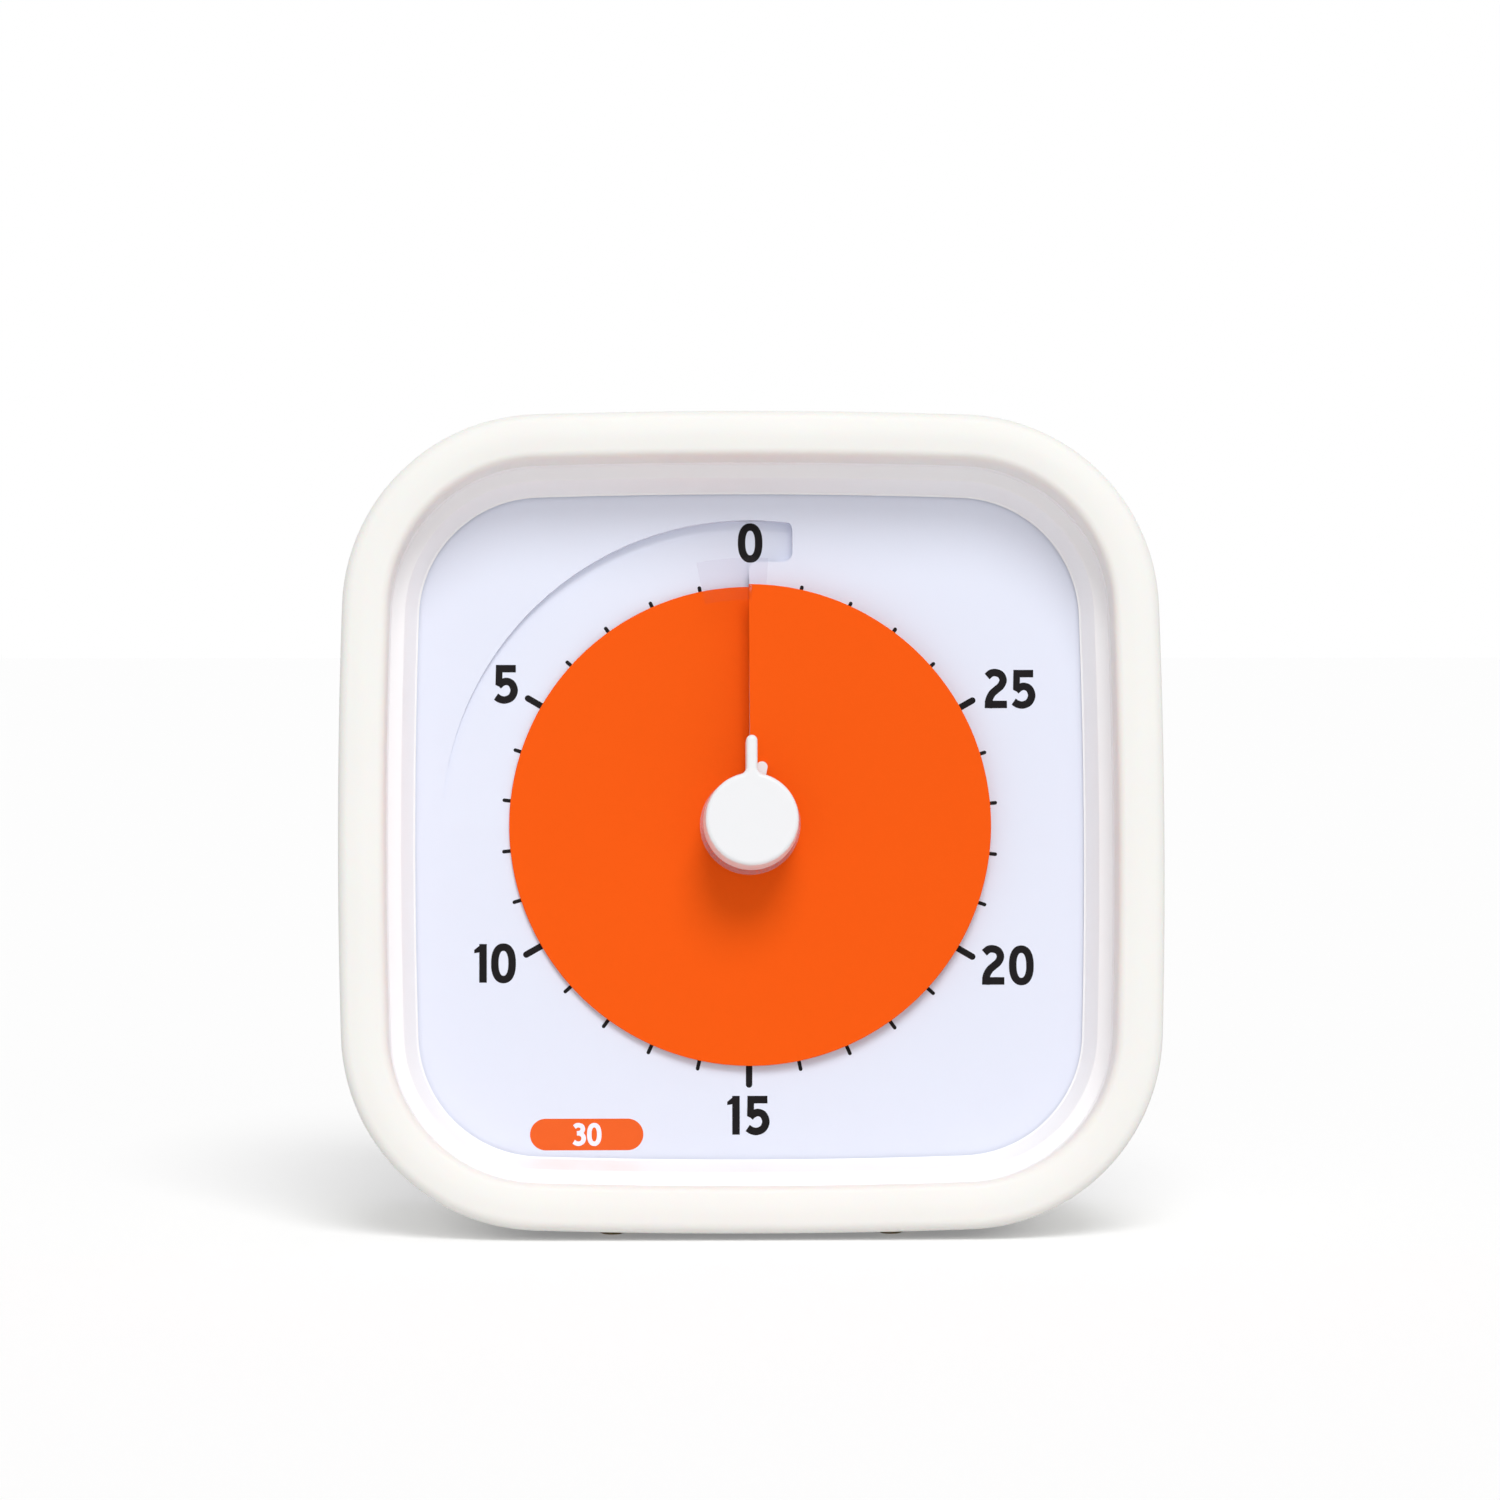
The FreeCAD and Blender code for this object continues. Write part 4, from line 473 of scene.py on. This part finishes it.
@dataclass
class Casing:
    """Silicone sleeve and front housing, swept round the square outline."""

    space: DialSpace
    outline: SquareOutline
    front_s: float = 9.6
    widest_s: float = 7.9
    lip_s: float = 4.0
    lip_width: float = 1.2
    sleeve_wall: float = 1.6
    sleeve_end_s: float = -28.0
    part_line_s: float = -12.0
    skin_gap: float = 0.05
    face_width: float = 5.1
    rim_round: float = 0.9
    bezel_width: float = 3.0
    dial_lap: float = 2.2

    def case_half(self, s: float) -> float:
        """Half-width of the case at a height s: it narrows to the back by the lean's tangent."""
        return self.outline.half_width - (self.widest_s - s) * math.tan(math.radians(self.space.lean_deg))

    def sweep(self, name: str, section: Array, finish: Finish) -> bpy.types.Object:
        """Sweeps a closed section round the outline: each of its points runs along the outline of its own u.

        Args:
            name: Name of the piece.
            section: (u, s) points.
            finish: Its material.

        Returns:
            The new piece.
        """
        x, y = self.outline.loop(section[:, 0])
        builder = MeshBuilder()
        builder.grid(self.space.place(x, y, section[:, 1:2]), close_rows=True, close_columns=True)
        return builder.finish(name, finish)

    def build_sleeve(self) -> None:
        """Silicone sleeve: rounded front ring, lip over the rim and a skin back along the sides."""
        wall = self.sleeve_wall
        inner = self.outline.half_width - self.face_width
        lip = inner + self.lip_width - self.skin_gap
        end = self.case_half(self.sleeve_end_s)
        under = self.front_s - wall
        section = rounded_profile([
            (end, self.sleeve_end_s, 0.48),
            (self.outline.half_width, self.widest_s, 3.2),
            (self.outline.half_width - 0.1, self.front_s - 0.3, 1.3),
            (self.outline.half_width - self.face_width / 2, self.front_s, 6.0),
            (inner + 0.05, self.front_s - 0.25, 1.0),
            (inner, self.lip_s, 0.24),
            (lip, self.lip_s),
            (lip, under, self.rim_round),
            (self.case_half(under) - wall, under, self.rim_round),
            (end - wall, self.sleeve_end_s, 0.4),
        ])
        settle(self.sweep("sleeve_skin", section, SILICONE), "case", "white_silicone", "silicone_sleeve")

    def build_front_housing(self) -> None:
        """Front housing: rim under the sleeve, a shallow slope inwards, then a steep wall down to the dial."""
        gap = self.skin_gap
        inner = self.outline.half_width - self.face_width
        rim = self.front_s - self.sleeve_wall - gap
        seat = self.lip_s - gap
        window = inner - self.bezel_width
        outside = self.case_half(self.part_line_s) - self.sleeve_wall - gap
        section = rounded_profile([
            (outside, self.part_line_s),
            (self.case_half(rim) - self.sleeve_wall - gap, rim, self.rim_round),
            (inner + self.lip_width, rim, self.rim_round),
            (inner + self.lip_width, seat),
            (inner - gap, seat, 0.2),
            (inner - 2 * gap, 3.3, 0.1),
            (window + 1.45, 2.95, 0.25),
            (window + 0.2, 0.4, 0.12),
            (window, 0.32, 0.04),
            (window, 0.26),
            (window + self.dial_lap / 2, 0.24),
            (window + self.dial_lap / 2, 0.0),
            (window + self.dial_lap, 0.0),
            (window + self.dial_lap, self.part_line_s),
        ], steps=5)
        settle(self.sweep("bezel", section, ABS), "case", "white_abs", "front_housing")


@dataclass
class TimeDisc:
    """Orange film: one whole turn of a screw surface round the dial's axis."""

    space: DialSpace
    inner_radius: float = 4.8
    outer_radius: float = 26.2
    base_s: float = -0.6
    film: float = 0.2
    pitch: float = 2.8
    start_deg: float = -2.0
    end_deg: float = 360.2
    turn_steps: int = 360
    reach_points: int = 8
    edge_round: float = 0.06

    def build(self) -> None:
        """Film: its height grows with the angle, by the pitch in a whole turn; the rim is slightly rounded."""
        turn = np.radians(np.linspace(self.start_deg, self.end_deg, self.turn_steps + 1))[:, None]
        radii = np.linspace(self.inner_radius, self.outer_radius - self.edge_round, self.reach_points)
        reach = np.concatenate([radii, [self.outer_radius, self.outer_radius], radii[::-1]])[None, :]
        rim = [self.film - self.edge_round, self.edge_round]
        up = np.concatenate([np.full(self.reach_points, self.film), rim, np.zeros(self.reach_points)])[None, :]
        s = self.base_s + self.pitch * turn / (2 * math.pi) + up
        builder = MeshBuilder()
        points = self.space.place(-reach * np.sin(turn), reach * np.cos(turn), s)
        builder.grid(points, close_columns=True, caps=True)
        settle(builder.finish("orange_film_disc", FILM), "disc", "orange_film", "time_disc")


@dataclass(frozen=True)
class Stroke:
    """One stroke of a printed shape: the two edges of a ribbon, point for point."""

    left: Array
    right: Array

    def moved(self, x: float, y: float, scale: float = 1.0) -> "Stroke":
        """The stroke scaled about its own origin, then shifted by x and y."""
        shift = np.array([x, y])
        return Stroke(self.left * scale + shift, self.right * scale + shift)


def along(path: Array, width: float, closed: bool = False) -> Stroke:
    """Ribbon of even width along a path: each point steps aside along the bisector of its two sides.

    Args:
        path: Centre line, shape (n, 2).
        width: Width of the ribbon.
        closed: True where the last point joins the first.

    Returns:
        The ribbon, with its first point repeated at the end if it is closed.
    """
    if closed:
        path = np.concatenate([path, path[:1]])
    step = np.diff(path, axis=0)
    step = step / np.linalg.norm(step, axis=1)[:, None]
    first, last = (step[-1:], step[:1]) if closed else (step[:1], step[-1:])
    before, after = np.concatenate([first, step]), np.concatenate([step, last])
    middle = before + after
    middle = middle / np.linalg.norm(middle, axis=1)[:, None]
    cosine = np.maximum((middle * after).sum(axis=1), 0.5)[:, None]
    aside = np.stack([-middle[:, 1], middle[:, 0]], axis=1) * width / 2 / cosine
    return Stroke(path + aside, path - aside)


def flowing(points: list[tuple[float, float]], steps: int = 8) -> Array:
    """Smooth path through points: a cubic on each span whose ends have the slope of the span's neighbours.

    Args:
        points: Points to pass through.
        steps: Segments on each span.

    Returns:
        Points of the path, shape (n, 2).
    """
    knots = np.array(points, dtype=float)
    knots = np.concatenate([2 * knots[:1] - knots[1:2], knots, 2 * knots[-1:] - knots[-2:-1]])
    t = np.linspace(0.0, 1.0, steps, endpoint=False)[None, :, None]
    a, b, c, d = (knots[i : len(knots) - 3 + i][:, None, :] for i in range(4))
    spans = 0.5 * (2 * b + (c - a) * t + (2 * a - 5 * b + 4 * c - d) * t**2 + (3 * b - a - 3 * c + d) * t**3)
    return np.concatenate([spans.reshape(-1, 2), knots[-2:-1]])


@dataclass(frozen=True)
class Numerals:
    """Condensed bold figures in strokes of even width, 4.2 mm high about their own middle."""

    width: float = 0.82
    height: float = 4.2

    def digit(self, figure: str) -> list[Stroke]:
        """Strokes of one figure.

        Args:
            figure: One of the digits 0, 1, 2, 3 and 5.

        Returns:
            Its strokes, centred on the origin; a 1 is centred on its stem.
        """
        top, low = self.height / 2, -self.height / 2
        bar = self.width / 2
        if figure == "0":
            turn = np.linspace(0, 2 * math.pi, 56, endpoint=False)
            cos, sin = np.cos(turn), np.sin(turn)
            x = 0.94 * np.sign(cos) * np.abs(cos) ** 0.86
            y = 1.76 * np.sign(sin) * np.abs(sin) ** 0.86
            return [along(np.stack([x, y], axis=1), self.width, closed=True)]
        if figure == "1":
            stem = along(np.array([[0.0, top], [0.0, low]]), self.width)
            flag = Stroke(np.array([[-0.95, 1.47], [-0.16, top], [0.0, top]]),
                          np.array([[-0.95, 1.10], [-0.38, 1.20], [0.0, 1.20]]))
            return [stem, flag]
        if figure == "2":
            body = flowing([(-0.95, 1.37), (-0.52, 1.73), (-0.02, 1.80), (0.55, 1.57), (0.80, 0.98), (0.55, 0.36),
                            (0.05, -0.08), (-0.42, -0.52), (-0.75, -1.20), (-0.83, low)])
            foot = np.array([[-1.21, low + bar], [1.21, low + bar]])
            return [along(body, self.width), along(foot, self.width)]
        if figure == "3":
            upper = flowing([(-0.90, 1.42), (-0.50, 1.70), (0.02, 1.76), (0.52, 1.52), (0.70, 1.02), (0.48, 0.50),
                             (0.0, 0.26), (-0.42, 0.23)])
            lower = flowing([(-0.42, 0.23), (0.12, 0.20), (0.62, -0.10), (0.86, -0.72), (0.64, -1.40), (0.02, -1.74),
                             (-0.58, -1.66), (-1.04, -1.38)])
            return [along(upper, self.width), along(lower, self.width)]
        bowl = flowing([(-0.80, -0.20), (-0.42, 0.14), (0.10, 0.29), (0.66, 0.02), (0.92, -0.72), (0.62, -1.44),
                        (-0.03, -1.75), (-0.62, -1.66), (-1.06, -1.38)])
        stem = np.array([[-0.70, top], [-0.75, -0.02]])
        roof = np.array([[-1.04, top - bar], [1.10, top - bar]])
        root = Stroke(np.array([[-1.12, 0.0], [-1.12, -0.10]]), np.array([[-0.38, 0.10], [-0.56, -0.36]]))
        return [along(bowl, self.width), along(stem, self.width * 0.9), along(roof, self.width), root]


@dataclass
class DialPrint:
    """What is printed on the dial: minute marks, figures and the pill with its number.

    A mark is given as its inner radius, its outer radius and half its width.
    """

    space: DialSpace
    ramp_radius: float = 33.6
    ramp_depth: float = 1.5
    ramp_deg: float = 90.0
    pocket_run: float = 4.75
    flap_radius: float = 28.9
    ink_mm: float = 0.012
    minutes: int = 30
    figure_step: int = 5
    bold_mark: tuple[float, float, float] = (24.8, 28.35, 0.35)
    fine_mark: tuple[float, float, float] = (25.4, 27.1, 0.2)
    marks_turn_deg: float = -0.37
    marks_shift_mm: float = -0.18
    layer_lift: float = 0.1
    pill_place: tuple[float, float] = (-17.8, -33.55)
    pill_half_length: float = 6.14
    pill_radius: float = 1.71
    pill_scale: float = 0.57
    pill_spacing: float = 0.82
    numerals: Numerals = Numerals()
    pill_numerals: Numerals = Numerals(width=0.86)

    def floor(self, x: Array, y: Array) -> Array:
        """Height of the printed face: 0 on the dial, down to the ramp's depth between 9 and 12 o'clock.

        Args:
            x: Millimetres to the right.
            y: Millimetres up.

        Returns:
            The height s at each place.
        """
        turn = np.degrees(np.arctan2(-x, y))
        reach = np.hypot(x, y)
        on_ramp = (turn >= 0) & (turn < self.ramp_deg) & (reach < self.ramp_radius)
        in_pocket = (x > 0) & (x < self.pocket_run) & (y > self.flap_radius) & (reach < self.ramp_radius)
        slope = -self.ramp_depth * (1 - turn / self.ramp_deg)
        return np.where(on_ramp, slope, np.where(in_pocket, -self.ramp_depth, 0.0))

    def lay(self, builder: MeshBuilder, stroke: Stroke, lift: float = 0.0) -> None:
        """Lays a stroke on the dial as a thin layer of ink that follows the face under it.

        Args:
            builder: Mesh that gets the stroke.
            stroke: The stroke.
            lift: Millimetres above the face, for ink on ink.
        """
        edges = [stroke.left, stroke.right, stroke.right, stroke.left]
        ring = np.stack(edges, axis=1)
        high = np.array([1.0, 1.0, 0.0, 0.0])[None, :] * self.ink_mm + lift
        s = self.floor(ring[..., 0], ring[..., 1]) + high
        builder.grid(self.space.place(ring[..., 0], ring[..., 1], s), close_columns=True, caps=True)

    def capsule(self, half_length: float, radius: float, steps: int = 10) -> Stroke:
        """Round-ended bar along x: its half-width falls as a circle's does within a radius of each end.

        Args:
            half_length: Half of the whole length.
            radius: Half of the width.
            steps: Segments in each rounded end.

        Returns:
            The bar as a stroke about its own middle.
        """
        turn = np.linspace(0.02, math.pi / 2, steps)
        x = half_length - radius + radius * np.cos(turn)
        half = radius * np.sin(turn)
        x = np.concatenate([-x, x[::-1]])
        half = np.concatenate([half, half[::-1]])
        return Stroke(np.stack([x, half], axis=1), np.stack([x, -half], axis=1))

    def build_marks(self) -> None:
        """Minute marks with rounded ends, every fifth one bold, printed a touch low and turned as on the photo."""
        builder = MeshBuilder()
        for minute in range(1, self.minutes):
            low, high, radius = self.fine_mark if minute % self.figure_step else self.bold_mark
            bar = self.capsule((high - low) / 2, radius)
            turn = math.radians(90 + 360 * minute / self.minutes + self.marks_turn_deg)
            spin = np.array([[math.cos(turn), math.sin(turn)], [-math.sin(turn), math.cos(turn)]])
            shift = np.array([(high + low) / 2, 0.0])
            mark = Stroke((bar.left + shift) @ spin, (bar.right + shift) @ spin)
            self.lay(builder, mark.moved(0.0, self.marks_shift_mm))
        settle(builder.finish("minute_marks", BLACK_INK), "case", "switch_black")

    def build_figures(self) -> None:
        """Figures 0 to 25 in fives, upright, just outside their marks."""
        places = (
            ("0", 0.16, 31.16), ("5", -26.59, 15.55), ("1", -29.04, -14.97), ("0", -26.82, -14.97),
            ("1", -1.61, -31.51), ("5", 0.71, -31.51), ("2", 26.43, -15.29), ("0", 29.5, -15.29),
            ("2", 26.92, 14.92), ("5", 29.92, 14.92),
        )
        builder = MeshBuilder()
        for figure, x, y in places:
            for layer, stroke in enumerate(self.numerals.digit(figure)):
                self.lay(builder, stroke.moved(x, y), self.layer_lift * layer * self.ink_mm)
        settle(builder.finish("dial_figures", BLACK_INK), "case", "switch_black")

    def build_pill(self) -> None:
        """Orange pill at the lower left with the longest time in plain figures."""
        x, y = self.pill_place
        builder = MeshBuilder()
        self.lay(builder, self.capsule(self.pill_half_length, self.pill_radius, 24).moved(x, y))
        settle(builder.finish("range_pill", ORANGE_INK), "case", "orange_film")
        builder = MeshBuilder()
        for figure, shift in (("3", -self.pill_spacing), ("0", self.pill_spacing)):
            for layer, stroke in enumerate(self.pill_numerals.digit(figure)):
                lift = (1 + self.layer_lift * layer) * self.ink_mm
                self.lay(builder, stroke.moved(x + shift, y, self.pill_scale), lift)
        settle(builder.finish("range_figures", WHITE_INK), "case", "dial_white")


def dress_nodes(frame: dict) -> None:
    """Gives every CAD node the finish of its material slot.
    """
    made: dict[str, bpy.types.Material] = {}
    for row in frame["record"]["subparts"]:
        slot = row["material_slot"]
        if slot not in made:
            made[slot] = FINISHES[slot].build()
        mesh = frame["nodes"][row["node"]].data
        mesh.materials.clear()
        mesh.materials.append(made[slot])


# ---------------------------------------------------------------- studio


@dataclass
class Studio:
    """Pale floor, soft light from high in front, and the camera at the photograph's angle."""

    camera_m: tuple[float, float, float] = (-0.01758, -0.690, 0.07608)
    yaw_rad: float = 0.02592
    pitch_rad: float = -0.03537
    lens_mm: float = 149.706
    sensor_mm: float = 36.0
    key_strength: float = 1.52
    key_angle_deg: float = 28.0
    key_elevation_deg: float = 47.0
    key_side_deg: float = 8.0
    fill_strength: float = 0.32
    fill_angle_deg: float = 60.0
    fill_elevation_deg: float = 4.0
    sky: float = 0.49
    floor_half_m: float = 3.0
    floor_colour: str = "#F0F0F0"
    floor_glow: float = 0.235

    def build_floor(self) -> None:
        """White floor: plain diffuse paint, with a glow that only the camera sees, so that it reads as white."""
        half = self.floor_half_m
        mesh = bpy.data.meshes.new("studio_floor")
        corners = [(-half, -half, 0.0), (half, -half, 0.0), (half, half, 0.0), (-half, half, 0.0)]
        mesh.from_pydata(corners, [], [(0, 1, 2, 3)])
        floor = bpy.data.objects.new("studio_floor", mesh)
        bpy.context.collection.objects.link(floor)
        paint = bpy.data.materials.new("white_floor_paint")
        paint.use_nodes = True
        tree = paint.node_tree
        tree.nodes.clear()
        matt = add_node(tree, "ShaderNodeBsdfDiffuse", {"Color": linear(self.floor_colour)}).outputs["BSDF"]
        seen = add_node(tree, "ShaderNodeLightPath").outputs["Is Camera Ray"]
        level = add_node(tree, "ShaderNodeMath", {0: seen, 1: self.floor_glow}, operation="MULTIPLY")
        glow = add_node(tree, "ShaderNodeEmission", {"Strength": level.outputs["Value"]}).outputs["Emission"]
        both = add_node(tree, "ShaderNodeAddShader", {0: matt, 1: glow}).outputs["Shader"]
        add_node(tree, "ShaderNodeOutputMaterial", {"Surface": both})
        mesh.materials.append(paint)

    def add_lamp(self, name: str, strength: float, angle_deg: float, elevation_deg: float) -> None:
        """Adds a distant soft lamp in front of the timer, turned to the key's side.

        Args:
            name: Name of the lamp.
            strength: Its strength.
            angle_deg: How wide it looks from the timer.
            elevation_deg: Its height above the horizon.
        """
        lamp = bpy.data.lights.new(name, "SUN")
        lamp.energy = strength
        lamp.angle = math.radians(angle_deg)
        stand = bpy.data.objects.new(name, lamp)
        stand.rotation_euler = (math.radians(90 - elevation_deg), 0.0, math.radians(self.key_side_deg))
        bpy.context.collection.objects.link(stand)

    def build_light(self) -> None:
        """Broad key from above, weak fill from the front, and an even sky that shows white to the camera."""
        self.add_lamp("key", self.key_strength, self.key_angle_deg, self.key_elevation_deg)
        self.add_lamp("fill", self.fill_strength, self.fill_angle_deg, self.fill_elevation_deg)
        world = bpy.data.worlds.new("studio_air")
        world.use_nodes = True
        tree = world.node_tree
        tree.nodes.clear()
        path = add_node(tree, "ShaderNodeLightPath").outputs
        shown = path["Is Camera Ray"]
        for ray in ("Is Glossy Ray", "Is Transmission Ray"):
            shown = add_node(tree, "ShaderNodeMath", {0: shown, 1: path[ray]}, operation="MAXIMUM").outputs["Value"]
        level = add_node(tree, "ShaderNodeMapRange", {"Value": shown, "To Min": self.sky, "To Max": 1.0})
        white = {"Color": linear("#FFFFFF"), "Strength": level.outputs["Result"]}
        air = add_node(tree, "ShaderNodeBackground", white).outputs["Background"]
        add_node(tree, "ShaderNodeOutputWorld", {"Surface": air})
        bpy.context.scene.world = world

    def build_camera(self) -> None:
        """Long lens a little left of the timer and just above it, looking slightly down."""
        lens = bpy.data.cameras.new("photo_camera")
        lens.sensor_width = self.sensor_mm
        lens.lens = self.lens_mm
        camera = bpy.data.objects.new("photo_camera", lens)
        camera.location = self.camera_m
        camera.rotation_euler = (math.pi / 2 + self.pitch_rad, 0.0, -self.yaw_rad)
        bpy.context.collection.objects.link(camera)
        bpy.context.scene.camera = camera

    def build(self) -> None:
        """Floor, light and camera, in that order."""
        self.build_floor()
        self.build_light()
        self.build_camera()
        bpy.context.scene.view_settings.view_transform = "Standard"


def main() -> None:
    """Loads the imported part, dresses it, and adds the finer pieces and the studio."""
    logging.basicConfig(level=logging.INFO, format="%(name)s: %(message)s")
    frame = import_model()
    turn = next(joint for joint in frame["record"]["behaviour"]["joints"] if joint["name"] == "knob_turn")
    space = DialSpace(tuple(turn["pos_m"]))
    dress_nodes(frame)
    casing = Casing(space, SquareOutline())
    casing.build_sleeve()
    casing.build_front_housing()
    TimeDisc(space).build()
    dial = DialPrint(space)
    dial.build_marks()
    dial.build_figures()
    dial.build_pill()
    Studio().build()


if __name__ == "__main__":
    main()
